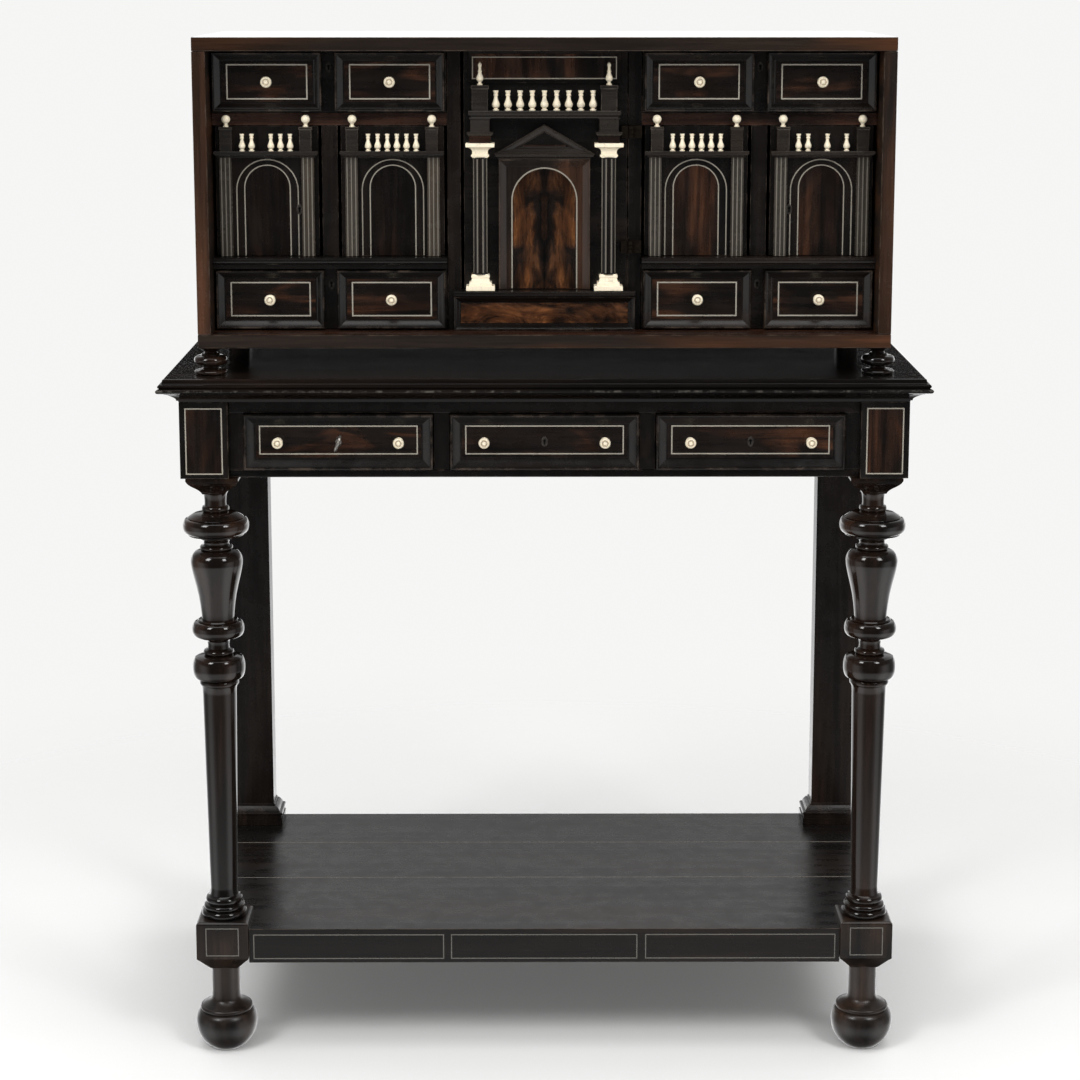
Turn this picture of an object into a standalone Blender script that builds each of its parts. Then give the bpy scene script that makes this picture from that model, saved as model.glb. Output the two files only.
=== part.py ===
# Coin cabinet on its stand: a black and rosewood cabinet with moulded drawers, four arched
# cupboard doors and a pillared centre door, on a stand with turned front legs and a low shelf.
# Metres, +Z up, the front faces -Y, and the origin is on the floor under the middle of the stand.

import math

import bmesh
import bpy
from mathutils import Vector

# Clearances
GAP = 0.0003            # between pieces that are glued or that stand on each other
DRAWER_GAP = 0.0008     # round a drawer in its opening
DOOR_GAP = 0.0006       # over and under a door in its opening
DOOR_SIDE_GAP = 0.0031  # beside a door's mouldings, for the swing of its free edge

# Stand
STAND_HEIGHT = 0.800
TOP_WIDTH = 0.862
TOP_DEPTH = 0.444
TOP_THICKNESS = 0.028
TOP_OVERHANG = 0.0225
BACK_OVERHANG = 0.005
FRIEZE_HEIGHT = 0.0876
FRIEZE_BOARD = 0.016
CORNER_BLOCK = 0.0545
STRIP_WIDTH = 0.016     # upright strip between a corner block and the nearest drawer
RAIL_SET = 0.010        # rails stand this far behind the faces of the corner blocks
RAIL_DEPTH = 0.030
UPPER_RAIL = 0.0142
LOWER_RAIL = 0.0085
POST_WIDTH = 0.0175
STAND_DRAWER_PROUD = 0.009
STAND_DRAWER_FRONT = 0.014
STAND_DRAWER_WALL = 0.008
STAND_DRAWER_DEPTH = 0.330

# Stand legs, shelf and feet
LEG_INSET = 0.035       # leg axis in from the outer face of the corner block
LEG_CAP = 0.0592
LEG_CAP_HEIGHT = 0.0154
LEG_DISC_RADIUS = 0.0376
LEG_VASE_RADIUS = 0.0294
LEG_COLUMN_TOP_RADIUS = 0.0201
LEG_COLUMN_FOOT_RADIUS = 0.0167
REAR_LEG_WIDTH = 0.058
REAR_LEG_THICKNESS = 0.035
REAR_PLINTH_HEIGHT = 0.026
REAR_PLINTH_PROUD = 0.012
SHELF_TOP = 0.1515
SHELF_THICKNESS = 0.041
SHELF_SET = 0.004       # shelf edge behind the faces of the foot blocks
FOOT_BLOCK = 0.060
FOOT_BLOCK_HEIGHT = 0.0555
FOOT_BLOCK_RISE = 0.009  # block above the shelf
FOOT_BLOCK_CHAMFER = 0.0035
BUN_RADIUS = 0.036
BUN_HEIGHT = 0.050
BUN_NECK_RADIUS = 0.0166

# Cabinet case
CAB_WIDTH = 0.772
CAB_HEIGHT = 0.3425
CAB_DEPTH = 0.308
CAB_SET = 0.028         # cabinet front behind the front edge of the stand top
CAB_FOOT = 0.0315
CAB_FOOT_RADIUS = 0.0187
CAB_FOOT_INSET = 0.0115  # foot axis in from the case's outer face
CAB_FOOT_SET = 0.002    # foot behind the front edge of the case
CAB_REAR_FOOT = 0.027
BOARD = 0.015
BACK_BOARD = 0.010
FACE_RECESS = 0.046     # rails and doors behind the front edge of the case

# Cabinet front
CENTRE_WIDTH = 0.187    # clear width between the two uprights
BOTTOM_ROW = 0.0705
LOWER_SHELF = 0.0126
UPPER_SHELF = 0.0135
TOP_ROW = 0.0695
DOOR_POST = 0.018
SHELF_NOSE = 0.020      # lower shelf in front of the doors
SHELF_NOSE_BEAD = 0.003
DRAWER_FRONT = 0.012
DRAWER_WALL = 0.006
DRAWER_FLOOR = 0.005
DRAWER_BACK_GAP = 0.012
DRAWER_TOP_GAP = 0.008  # drawer sides lower than the opening
FRAME_PROUD = 0.013
FRAME_MARGIN = 0.002
FRAME_STRIP = 0.0145    # plain strip with the keyhole, between two frames
FRAME_RISE = 0.0075     # plain edge of a top drawer over its frames
FRAME_RIM = 0.011
FRAME_SINK = 0.007
FRAME_BEAD = 0.002      # rise of a frame's outer bead

# Arched doors
DOOR_THICKNESS = 0.010
DOOR_LEAF_INSET = 0.0015  # leaf in from the ends of its mouldings
PILASTER_WIDTH = 0.014
PILASTER_OFFSET = 0.0458
PILASTER_PROUD = 0.007
PLATFORM_DROP = 0.0275  # balustrade floor below the top of the door
PLATFORM_HEIGHT = 0.0073
PLATFORM_PROUD = 0.016
END_BLOCK = 0.0135
END_BLOCK_OFFSET = 0.0443
BALL = 0.011
BALL_NECK = 0.0026
BALL_CLEAR = 0.0015
BALUSTER_HEIGHT = 0.020
BALUSTER_RADIUS = 0.0026
BALUSTER_PITCH = 0.0107
BALUSTER_COUNT = 6
DOOR_PIN_IN = 0.002     # pin axis in from the end of the mouldings

# Centre door and its plinth
PLINTH_HEIGHT = 0.046
PLINTH_FLOOR = 0.010
PLINTH_CORNICE = 0.0085
PLINTH_CORNICE_PROUD = 0.028
PLINTH_PROUD = 0.014
PLINTH_LAP = 0.0082     # plinth mouldings lap this far over the uprights
COLUMN_PROUD = 0.024
COLUMN_OFFSET = 0.0716
COLUMN_BASE = 0.032
COLUMN_BASE_HEIGHT = 0.018
COLUMN_RADIUS = 0.0076
CAPITAL_HEIGHT = 0.0163
ENTABLATURE = 0.0274
BALCONY_FLOOR = 0.0079
BALCONY_WIDTH = 0.1692
BALCONY_BLOCK = 0.018
BALCONY_BLOCK_HEIGHT = 0.028
BALCONY_BALUSTER = 0.0227
BALCONY_PITCH = 0.0135
BALCONY_COUNT = 9
URN = 0.0235
URN_RADIUS = 0.0042
TOP_PANEL = 0.0355
TOP_PANEL_PROUD = 0.004
PEDIMENT_WIDTH = 0.1113
PEDIMENT_HEIGHT = 0.0285
PEDIMENT_DROP = 0.0115  # apex below the balcony
PEDIMENT_PROUD = 0.012
SURROUND_WIDTH = 0.1022
SURROUND_PROUD = 0.008
SURROUND_RIM = 0.010
CENTRE_FREE_GAP = 0.0035  # beside the free edge of the centre door
CENTRE_HINGE_GAP = 0.001
HINGE_HEIGHT = 0.0137
HINGE_PIN_OFFSET = 0.0025  # pin axis outside the upright's inner face
HINGE_BARREL = 0.003
HINGE_HIGH = 0.177      # upper hinge over the plinth
HINGE_LOW = 0.049
PIN_BEHIND_COLUMNS = 0.006

# Knobs and key
KNOB_RADIUS = 0.0062
KNOB_LENGTH = 0.014
STAND_KNOB_OFFSET = 0.0677
KEY_SHANK = 0.0018
KEY_BOW = 0.0085
KEY_WIRE = 0.0016
KEY_STAND_OFF = 0.0115  # bow centre in front of the drawer's field
KEY_DEPTH = 0.008       # shank inside the lock
KEY_CLEAR = 0.0004

TURN_STEPS = 16
SMALL_TURN_STEPS = 10
BALUSTER_STEPS = 6

# Levels and planes that several pieces share
top_half_x = TOP_WIDTH / 2
top_half_y = TOP_DEPTH / 2
frieze_top = STAND_HEIGHT - TOP_THICKNESS
frieze_foot = frieze_top - FRIEZE_HEIGHT
frieze_x = top_half_x - TOP_OVERHANG
frieze_front = -(top_half_y - TOP_OVERHANG)
stand_back = top_half_y - BACK_OVERHANG
rail_front = frieze_front + RAIL_SET
rail_end = frieze_x - CORNER_BLOCK - GAP
opening_half = frieze_x - CORNER_BLOCK - STRIP_WIDTH
opening_foot = frieze_foot + LOWER_RAIL
opening_top = frieze_top - UPPER_RAIL
frieze_back_front = stand_back - FRIEZE_BOARD
stand_drawer_pitch = (2 * opening_half + POST_WIDTH) / 3
stand_drawer_half = (stand_drawer_pitch - POST_WIDTH) / 2 - DRAWER_GAP

leg_x = frieze_x - LEG_INSET
leg_y = frieze_front + LEG_CAP / 2
shelf_foot = SHELF_TOP - SHELF_THICKNESS
block_top = SHELF_TOP + FOOT_BLOCK_RISE
block_foot = block_top - FOOT_BLOCK_HEIGHT
shelf_half = leg_x + FOOT_BLOCK / 2

case_x = CAB_WIDTH / 2
case_front = -top_half_y + CAB_SET
case_back = case_front + CAB_DEPTH
case_foot = STAND_HEIGHT + CAB_FOOT
case_top = case_foot + CAB_HEIGHT
inner_x = case_x - BOARD
inner_foot = case_foot + BOARD
inner_top = case_top - BOARD
face_y = case_front + FACE_RECESS
back_front = case_back - BACK_BOARD
upright_in = CENTRE_WIDTH / 2
upright_out = upright_in + BOARD
lower_shelf_foot = inner_foot + BOTTOM_ROW
door_foot = lower_shelf_foot + LOWER_SHELF
top_row_foot = inner_top - TOP_ROW
door_top = top_row_foot - UPPER_SHELF
post_x = (upright_out + inner_x) / 2
plinth_top = inner_foot + PLINTH_HEIGHT


def clear_scene():
    for obj in list(bpy.data.objects):
        bpy.data.objects.remove(obj, do_unlink=True)


def new_collection(name):
    collection = bpy.data.collections.new(name)
    bpy.context.scene.collection.children.link(collection)
    return collection


clear_scene()
parts = new_collection("coin_cabinet")
cutters = new_collection("cutters")


def finish(name, color, roughness, metallic=0.0):
    material = bpy.data.materials.new(name)
    material.use_nodes = True
    shader = material.node_tree.nodes["Principled BSDF"]
    shader.inputs["Base Color"].default_value = (*color, 1.0)
    shader.inputs["Roughness"].default_value = roughness
    shader.inputs["Metallic"].default_value = metallic
    return material


EBONY = ("ebony", (0.012, 0.010, 0.009), 0.32)
ROSEWOOD = ("rosewood", (0.060, 0.022, 0.012), 0.30)
DRAWER_WOOD = ("drawer_wood", (0.110, 0.060, 0.032), 0.55)
BONE = ("bone", (0.780, 0.700, 0.540), 0.38)
IRON = ("iron", (0.300, 0.285, 0.260), 0.42, 1.0)
HINGE_BRASS = ("hinge_brass", (0.200, 0.120, 0.060), 0.50, 1.0)


def add_piece(name, bm, look):
    mesh = bpy.data.meshes.new(name)
    bm.to_mesh(mesh)
    bm.free()
    obj = bpy.data.objects.new(name, mesh)
    parts.objects.link(obj)
    mesh.materials.append(finish(name + "_" + look[0], *look[1:]))
    return obj


def box_mesh(x, y, z):
    bm = bmesh.new()
    bmesh.ops.create_cube(bm, size=1.0)
    size = Vector((x[1] - x[0], y[1] - y[0], z[1] - z[0]))
    middle = Vector((x[0] + x[1], y[0] + y[1], z[0] + z[1])) / 2
    bmesh.ops.scale(bm, verts=bm.verts, vec=size)
    bmesh.ops.translate(bm, verts=bm.verts, vec=middle)
    return bm


def block(name, x, y, z, look, chamfer=0.0):
    bm = box_mesh(x, y, z)
    if chamfer:
        bmesh.ops.bevel(bm, geom=bm.edges, offset=chamfer, segments=1, affect="EDGES")
    return add_piece(name, bm, look)


def moulded(name, x, y, z, steps, look):
    # a block whose front face is worked inwards in steps of (inset, rise)
    bm = box_mesh(x, y, z)
    front = min(bm.faces, key=lambda face: face.calc_center_median().y)
    for inset, rise in steps:
        bmesh.ops.inset_region(bm, faces=[front], thickness=inset, depth=rise, use_even_offset=True)
    return add_piece(name, bm, look)


def stacked(name, levels, look):
    # a rectangle carried upwards through levels of (z, x range, y range)
    bm = bmesh.new()
    bmesh.ops.create_grid(bm, x_segments=1, y_segments=1, size=1.0)
    face = bm.faces[:][0]
    corners = list(bm.verts)
    for index, (z, x, y) in enumerate(levels):
        if index:
            grown = bmesh.ops.extrude_face_region(bm, geom=[face])["geom"]
            if index > 1:
                bmesh.ops.delete(bm, geom=[face], context="FACES_ONLY")
            corners = [item for item in grown if isinstance(item, bmesh.types.BMVert)]
            face = [item for item in grown if isinstance(item, bmesh.types.BMFace)][0]
        middle = sum((vert.co for vert in corners), Vector()) / 4
        for vert in corners:
            side = vert.co - middle
            vert.co = (x[side.x > 0], y[side.y > 0], z)
    bmesh.ops.recalc_face_normals(bm, faces=bm.faces)
    return add_piece(name, bm, look)


def turned(name, profile, axis, look, steps, upright=True):
    # profile points are (height, radius), from the top down, round a line through axis
    bm = bmesh.new()
    points = [bm.verts.new((radius, 0, height)) for height, radius in profile]
    for upper, lower in zip(points, points[1:]):
        bm.edges.new((upper, lower))
    obj = add_piece(name, bm, look)
    screw = obj.modifiers.new("Turn", "SCREW")
    screw.steps = steps
    screw.render_steps = steps
    screw.use_merge_vertices = True
    screw.merge_threshold = 0.00001
    screw.use_smooth_shade = True
    obj.location = axis
    if not upright:
        obj.rotation_euler.x = math.radians(90)
    return obj


def bead(top, foot, side, full, count=4):
    # half an ellipse that swells from the side radius to the full radius
    angles = [math.pi * k / count for k in range(count + 1)]
    middle = (top + foot) / 2
    half = (top - foot) / 2
    return [(middle + half * math.cos(a), side + (full - side) * math.sin(a)) for a in angles]


def ease(top, top_radius, foot, foot_radius, count=3):
    # a smooth S between two radii
    turns = [k / count for k in range(count + 1)]
    change = foot_radius - top_radius
    return [(top + (foot - top) * t, top_radius + change * (1 - math.cos(math.pi * t)) / 2) for t in turns]


def combine(obj, others, operation):
    for other in others:
        change = obj.modifiers.new(other.name, "BOOLEAN")
        change.operation = operation
        change.solver = "EXACT"
        change.object = other
        other.hide_render = True
        other.display_type = "WIRE"
        parts.objects.unlink(other)
        cutters.objects.link(other)
    return obj


def join(obj, others):
    return combine(obj, others, "UNION")


def cut(obj, others):
    return combine(obj, others, "DIFFERENCE")


def set_origin(obj, point):
    # moves the origin to the joint axis and leaves the shape where it is
    shift = Vector(point) - obj.location
    for vert in obj.data.vertices:
        vert.co -= shift
    obj.location = point


def span(middle, width):
    return (middle - width / 2, middle + width / 2)


def mirrored(side, near, far):
    # the x range between two distances from the middle, on side -1 or 1
    return tuple(sorted((side * near, side * far)))


SIDES = (("left", -1), ("right", 1))
OVERLAP = 0.001         # how far joined shapes run into each other


# Stand top, a board with a moulded edge
def build_stand_top():
    edge = ((0.0, 0.0), (0.21, 0.26), (0.34, 0.50), (0.46, 0.80), (0.54, 1.0), (0.68, 1.0),
            (0.75, 0.86), (0.84, 0.93), (1.0, 0.66))
    levels = []
    for rise, reach in edge:
        inset = TOP_OVERHANG * (1 - reach)
        z = frieze_top + TOP_THICKNESS * rise
        x = (-top_half_x + inset, top_half_x - inset)
        y = (-top_half_y + inset, top_half_y - min(inset, BACK_OVERHANG))
        levels.append((z, x, y))
    stacked("stand_top", levels, EBONY)


# Frieze under the stand top, with the three drawer openings
def build_frieze():
    height = (frieze_foot, frieze_top - GAP)
    block("frieze_rail_upper", (-rail_end, rail_end), (rail_front, rail_front + RAIL_DEPTH),
          (opening_top, frieze_top - GAP), EBONY)
    block("frieze_bottom_board", (-rail_end, rail_end), (rail_front, stand_back - REAR_LEG_THICKNESS - GAP),
          (frieze_foot, opening_foot), EBONY)
    back_end = frieze_x - REAR_LEG_WIDTH - GAP
    block("frieze_back", (-back_end, back_end), (frieze_back_front, stand_back), height, EBONY)
    for word, side in SIDES:
        post = block("corner_block_" + word, mirrored(side, frieze_x - CORNER_BLOCK, frieze_x),
                     (frieze_front, frieze_front + CORNER_BLOCK), height, EBONY)
        strip_x = mirrored(side, opening_half, frieze_x - CORNER_BLOCK + OVERLAP)
        strip = block("corner_strip_" + word, strip_x, (rail_front, rail_front + RAIL_DEPTH),
                      (opening_foot + GAP, opening_top - GAP), EBONY)
        join(post, [strip])
        block("frieze_side_" + word, mirrored(side, frieze_x - FRIEZE_BOARD, frieze_x),
              (frieze_front + CORNER_BLOCK + GAP, stand_back - REAR_LEG_THICKNESS - GAP), height, EBONY)
        middle = side * stand_drawer_pitch / 2
        block("drawer_divider_" + word, span(middle, POST_WIDTH), (rail_front, frieze_back_front - GAP),
              (opening_foot + GAP, opening_top - GAP), EBONY)


# Turned front legs under square caps
def leg_profile():
    cap = frieze_foot - LEG_CAP_HEIGHT
    foot = block_top + GAP
    collar = LEG_CAP * 0.44

    def level(share):
        return cap + (foot - cap) * share

    def wide(share):
        return LEG_DISC_RADIUS * share

    profile = [(cap + OVERLAP, 0.0), (cap + OVERLAP, collar)]
    profile += ease(cap, collar, level(0.038), wide(0.35))
    profile += ease(level(0.043), wide(0.37), level(0.065), wide(0.72))
    profile += bead(level(0.067), level(0.112), wide(0.80), LEG_DISC_RADIUS)
    profile += [(level(0.125), wide(0.48)), (level(0.129), wide(0.49))]
    profile += ease(level(0.132), wide(0.53), level(0.166), LEG_VASE_RADIUS, 4)
    profile += ease(level(0.187), LEG_VASE_RADIUS, level(0.311), wide(0.49))
    profile += bead(level(0.315), level(0.344), wide(0.53), LEG_VASE_RADIUS)
    profile += [(level(0.365), wide(0.335))]
    profile += bead(level(0.384), level(0.445), wide(0.505), LEG_VASE_RADIUS)
    profile += [(level(0.451), wide(0.59)), (level(0.462), LEG_COLUMN_TOP_RADIUS)]
    profile += [(level(0.951), LEG_COLUMN_FOOT_RADIUS)]
    profile += bead(level(0.954), level(0.970), LEG_COLUMN_FOOT_RADIUS, wide(0.57))
    profile += bead(level(0.9725), foot, wide(0.57), wide(0.70))
    profile += [(foot, 0.0)]
    return profile


def build_front_legs():
    for word, side in SIDES:
        x = side * leg_x
        leg = turned("front_leg_" + word, leg_profile(), (x, leg_y, 0), EBONY, TURN_STEPS)
        cap_z = frieze_foot - GAP
        half = LEG_CAP / 2
        lip = half * 0.90
        lower = cap_z - LEG_CAP_HEIGHT
        cap = stacked("leg_cap_" + word,
                      [(lower, span(x, 2 * lip), span(leg_y, 2 * lip)),
                       (lower + LEG_CAP_HEIGHT * 0.45, (x - half, x + half), (leg_y - half, leg_y + half)),
                       (cap_z, (x - half, x + half), (leg_y - half, leg_y + half))], EBONY)
        join(leg, [cap])


# Flat rear legs that stand on the shelf, each with a moulded plinth
def build_rear_legs():
    foot = SHELF_TOP + GAP
    for word, side in SIDES:
        levels = []
        for rise, reach in ((0.0, 1.0), (0.62, 1.0), (0.80, 0.45), (1.0, 0.0)):
            grow = REAR_PLINTH_PROUD * reach
            x = mirrored(side, frieze_x - REAR_LEG_WIDTH - grow, frieze_x)
            y = (stand_back - REAR_LEG_THICKNESS - grow, stand_back)
            levels.append((foot + REAR_PLINTH_HEIGHT * rise, x, y))
        levels.append((frieze_top - GAP, x, y))
        stacked("rear_leg_" + word, levels, EBONY)


# Low shelf, notched round the foot blocks, and the feet under it
def build_shelf():
    block_front = leg_y - FOOT_BLOCK / 2
    shelf = block("shelf", (-shelf_half, shelf_half), (block_front + SHELF_SET, stand_back),
                  (shelf_foot, SHELF_TOP), EBONY)
    notches = []
    for word, side in SIDES:
        x = mirrored(side, leg_x - FOOT_BLOCK / 2 - GAP, shelf_half + OVERLAP)
        y = (block_front - OVERLAP, leg_y + FOOT_BLOCK / 2 + GAP)
        notches.append(block("notch_" + word, x, y, (shelf_foot - OVERLAP, SHELF_TOP + OVERLAP), EBONY))
    cut(shelf, notches)


def foot_profile():
    neck = block_foot - BUN_HEIGHT
    collar = BUN_NECK_RADIUS * 1.24
    profile = [(block_foot + OVERLAP, 0.0), (block_foot + OVERLAP, collar)]
    profile += [(block_foot - neck * 0.055, collar)]
    throat = block_foot - neck * 0.29
    profile += ease(block_foot - neck * 0.075, BUN_NECK_RADIUS * 1.14, throat, BUN_NECK_RADIUS)
    profile += [(BUN_HEIGHT + neck * 0.14, BUN_NECK_RADIUS)]
    profile += bead(BUN_HEIGHT + neck * 0.12, BUN_HEIGHT, BUN_NECK_RADIUS * 1.08, BUN_NECK_RADIUS * 1.33, 3)
    profile += bead(BUN_HEIGHT - neck * 0.02, 0.0, BUN_RADIUS * 0.52, BUN_RADIUS, 6)
    profile += [(0.0, 0.0)]
    return profile


def build_feet():
    for word, side in SIDES:
        x = side * leg_x
        foot = block("front_foot_" + word, span(x, FOOT_BLOCK), span(leg_y, FOOT_BLOCK),
                     (block_foot, block_top), EBONY, chamfer=FOOT_BLOCK_CHAMFER)
        join(foot, [turned("bun_" + word, foot_profile(), (x, leg_y, 0), EBONY, TURN_STEPS)])
        wide = mirrored(side, frieze_x - REAR_LEG_WIDTH, shelf_half)
        block("rear_foot_" + word, wide, (stand_back - REAR_LEG_THICKNESS, stand_back),
              (0.0, shelf_foot - GAP), EBONY)


# Drawers
def knob_profile():
    profile = [(KNOB_LENGTH, 0.0), (KNOB_LENGTH, KNOB_RADIUS * 0.30)]
    profile += bead(KNOB_LENGTH * 0.93, KNOB_LENGTH * 0.45, KNOB_RADIUS * 0.62, KNOB_RADIUS, 3)
    profile += [(KNOB_LENGTH * 0.30, KNOB_RADIUS * 0.45), (KNOB_LENGTH * 0.12, KNOB_RADIUS * 0.72)]
    profile += [(0.0, KNOB_RADIUS * 0.80), (0.0, 0.0)]
    return profile


def drawer_tray(name, x, y, z, wall):
    # an open box, hollowed from above
    tray = block(name, x, y, z, DRAWER_WOOD)
    hollow = block(name + "_hollow", (x[0] + wall, x[1] - wall), (y[0] + wall, y[1] - wall),
                   (z[0] + DRAWER_FLOOR, z[1] + OVERLAP), DRAWER_WOOD)
    return cut(tray, [hollow])


def frame_steps():
    # an outer bead, a flat and a slope down to the field
    return ((FRAME_RIM * 0.25, FRAME_BEAD), (FRAME_RIM * 0.25, 0.0), (FRAME_RIM * 0.50, -FRAME_SINK))


def build_stand_drawers():
    front_z = (opening_foot + DRAWER_GAP, opening_top - DRAWER_GAP)
    middle_z = (opening_foot + opening_top) / 2
    tray_z = (front_z[0], front_z[1] - DRAWER_TOP_GAP)
    field_y = rail_front - STAND_DRAWER_PROUD + FRAME_SINK
    front_back = rail_front + STAND_DRAWER_FRONT
    for word, place in (("left", -1), ("centre", 0), ("right", 1)):
        middle = place * stand_drawer_pitch
        x = (middle - stand_drawer_half, middle + stand_drawer_half)
        tray_y = (front_back - STAND_DRAWER_WALL, rail_front + STAND_DRAWER_DEPTH)
        tray = drawer_tray("stand_drawer_" + word, x, tray_y, tray_z, STAND_DRAWER_WALL)
        front_y = (rail_front - STAND_DRAWER_PROUD + FRAME_BEAD, front_back)
        front = moulded("stand_drawer_front_" + word, x, front_y, front_z, frame_steps(), EBONY)
        join(tray, [front])
        for count, step in enumerate((-1, 1), 1):
            axis = (middle + step * STAND_KNOB_OFFSET, field_y - GAP, middle_z)
            turned("stand_knob_%s_%d" % (word, count), knob_profile(), axis, BONE,
                   SMALL_TURN_STEPS, upright=False)
        if word == "left":
            build_key(tray, middle, field_y, middle_z)


def build_key(tray, x, field_y, z):
    # key in the left lock: a ring bow on a round shank, turning about the shank
    bow_y = field_y - KEY_STAND_OFF
    shank_foot = field_y + KEY_DEPTH
    radius = KEY_SHANK + KEY_CLEAR
    bore_foot = -KEY_DEPTH - KEY_CLEAR
    bore = [(OVERLAP, 0.0), (OVERLAP, radius), (bore_foot, radius), (bore_foot, 0.0)]
    hole = turned("key_hole", bore, (x, field_y, z), IRON, SMALL_TURN_STEPS, upright=False)
    cut(tray, [hole])
    length = shank_foot - bow_y - KEY_BOW
    shank = [(length, 0.0), (length, KEY_SHANK), (0.0, KEY_SHANK), (0.0, 0.0)]
    key = turned("drawer_key", shank, (x, shank_foot, z), IRON, SMALL_TURN_STEPS, upright=False)
    bpy.ops.mesh.primitive_torus_add(major_radius=KEY_BOW, minor_radius=KEY_WIRE,
                                     major_segments=SMALL_TURN_STEPS + 2, minor_segments=BALUSTER_STEPS,
                                     location=(x, bow_y, z), rotation=(0, math.radians(90), 0))
    bow = bpy.context.object
    bow.name = "key_bow"
    for collection in list(bow.users_collection):
        collection.objects.unlink(bow)
    parts.objects.link(bow)
    join(key, [bow])


def build_cabinet_drawers():
    rows = (("top", top_row_foot, inner_top, FRAME_RISE),
            ("bottom", inner_foot, lower_shelf_foot, FRAME_MARGIN))
    near = upright_out + DRAWER_GAP
    far = inner_x - DRAWER_GAP
    frame_width = (far - near - 2 * FRAME_MARGIN - FRAME_STRIP) / 2
    for row, foot, top, rise in rows:
        front_z = (foot + DRAWER_GAP, top - DRAWER_GAP)
        frame_z = (front_z[0] + FRAME_MARGIN, front_z[1] - rise)
        for word, side in SIDES:
            name = "drawer_%s_%s" % (row, word)
            x = mirrored(side, near, far)
            tray_y = (face_y + DRAWER_FRONT - DRAWER_WALL, back_front - DRAWER_BACK_GAP)
            tray_z = (front_z[0], front_z[1] - DRAWER_TOP_GAP)
            tray = drawer_tray(name, x, tray_y, tray_z, DRAWER_WALL)
            pieces = [block(name + "_front", x, (face_y, face_y + DRAWER_FRONT), front_z, EBONY)]
            for count in range(2):
                start = near + FRAME_MARGIN + count * (frame_width + FRAME_STRIP)
                frame_x = mirrored(side, start, start + frame_width)
                frame_y = (face_y - FRAME_PROUD + FRAME_BEAD, face_y + OVERLAP)
                pieces.append(moulded("%s_frame_%d" % (name, count), frame_x, frame_y, frame_z,
                                      frame_steps(), EBONY))
                field_y = face_y - FRAME_PROUD + FRAME_SINK
                axis = (sum(frame_x) / 2, field_y + OVERLAP / 2, sum(frame_z) / 2)
                pieces.append(turned("%s_knob_%d" % (name, count), knob_profile(), axis, BONE,
                                     SMALL_TURN_STEPS, upright=False))
            join(tray, pieces)


# Cabinet case
def build_case():
    depth = (case_front, case_back)
    clear_height = (inner_foot + GAP, inner_top - GAP)
    block("cabinet_bottom", (-case_x, case_x), depth, (case_foot, inner_foot), EBONY)
    block("cabinet_top", (-case_x, case_x), depth, (inner_top, case_top), EBONY)
    block("cabinet_back", (-inner_x + GAP, inner_x - GAP), (back_front, case_back), clear_height, ROSEWOOD)
    inside = (face_y, back_front - GAP)
    for word, side in SIDES:
        block("cabinet_side_" + word, mirrored(side, inner_x, case_x), depth, clear_height, ROSEWOOD)
        block("bay_upright_" + word, mirrored(side, upright_in, upright_out), inside, clear_height, ROSEWOOD)
        bay = mirrored(side, upright_out + GAP, inner_x - GAP)
        block("bay_shelf_upper_" + word, bay, inside, (door_top, top_row_foot), ROSEWOOD)
        shelf = block("bay_shelf_lower_" + word, bay, inside, (lower_shelf_foot, door_foot), EBONY)
        nose = moulded("shelf_nose_" + word, bay, (face_y - SHELF_NOSE + SHELF_NOSE_BEAD, face_y + OVERLAP),
                       (lower_shelf_foot, door_foot), ((SHELF_NOSE_BEAD, SHELF_NOSE_BEAD),), EBONY)
        join(shelf, [nose])
        block("door_post_" + word, span(side * post_x, DOOR_POST), inside,
              (door_foot + GAP, door_top - GAP), EBONY)


def build_cabinet_feet():
    top = case_foot - GAP
    foot = STAND_HEIGHT + GAP
    tall = top - foot
    profile = [(top, 0.0), (top, CAB_FOOT_RADIUS * 0.75)]
    profile += ease(top - tall * 0.03, CAB_FOOT_RADIUS * 0.70, top - tall * 0.22, CAB_FOOT_RADIUS * 0.36, 3)
    profile += [(top - tall * 0.34, CAB_FOOT_RADIUS * 0.55)]
    profile += bead(top - tall * 0.38, top - tall * 0.70, CAB_FOOT_RADIUS * 0.55, CAB_FOOT_RADIUS)
    profile += [(top - tall * 0.80, CAB_FOOT_RADIUS * 0.42), (top - tall * 0.86, CAB_FOOT_RADIUS * 0.92)]
    profile += [(foot, CAB_FOOT_RADIUS), (foot, 0.0)]
    for word, side in SIDES:
        axis = (side * (case_x - CAB_FOOT_INSET), case_front + CAB_FOOT_RADIUS + CAB_FOOT_SET, 0)
        turned("cabinet_foot_front_" + word, profile, axis, EBONY, SMALL_TURN_STEPS + 2)
        block("cabinet_foot_rear_" + word, mirrored(side, case_x - CAB_REAR_FOOT, case_x),
              (case_back - CAB_REAR_FOOT, case_back), (foot, top), EBONY)


# Balustrades shared by the arched doors and the centre door
def baluster_profile(foot, height, radius):
    top = foot + height
    profile = [(top, 0.0), (top, radius * 0.8), (top - height * 0.14, radius * 0.8)]
    profile += [(top - height * 0.22, radius * 0.45), (top - height * 0.58, radius)]
    profile += [(top - height * 0.80, radius * 0.5), (top - height * 0.86, radius)]
    profile += [(foot - OVERLAP, radius), (foot - OVERLAP, 0.0)]
    return profile


def baluster_row(name, middle, y, foot, height, count, pitch):
    row = []
    for k in range(count):
        x = middle + (k - (count - 1) / 2) * pitch
        row.append(turned("%s_baluster_%d" % (name, k), baluster_profile(foot, height, BALUSTER_RADIUS),
                          (x, y, 0), BONE, BALUSTER_STEPS))
    return row


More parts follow.
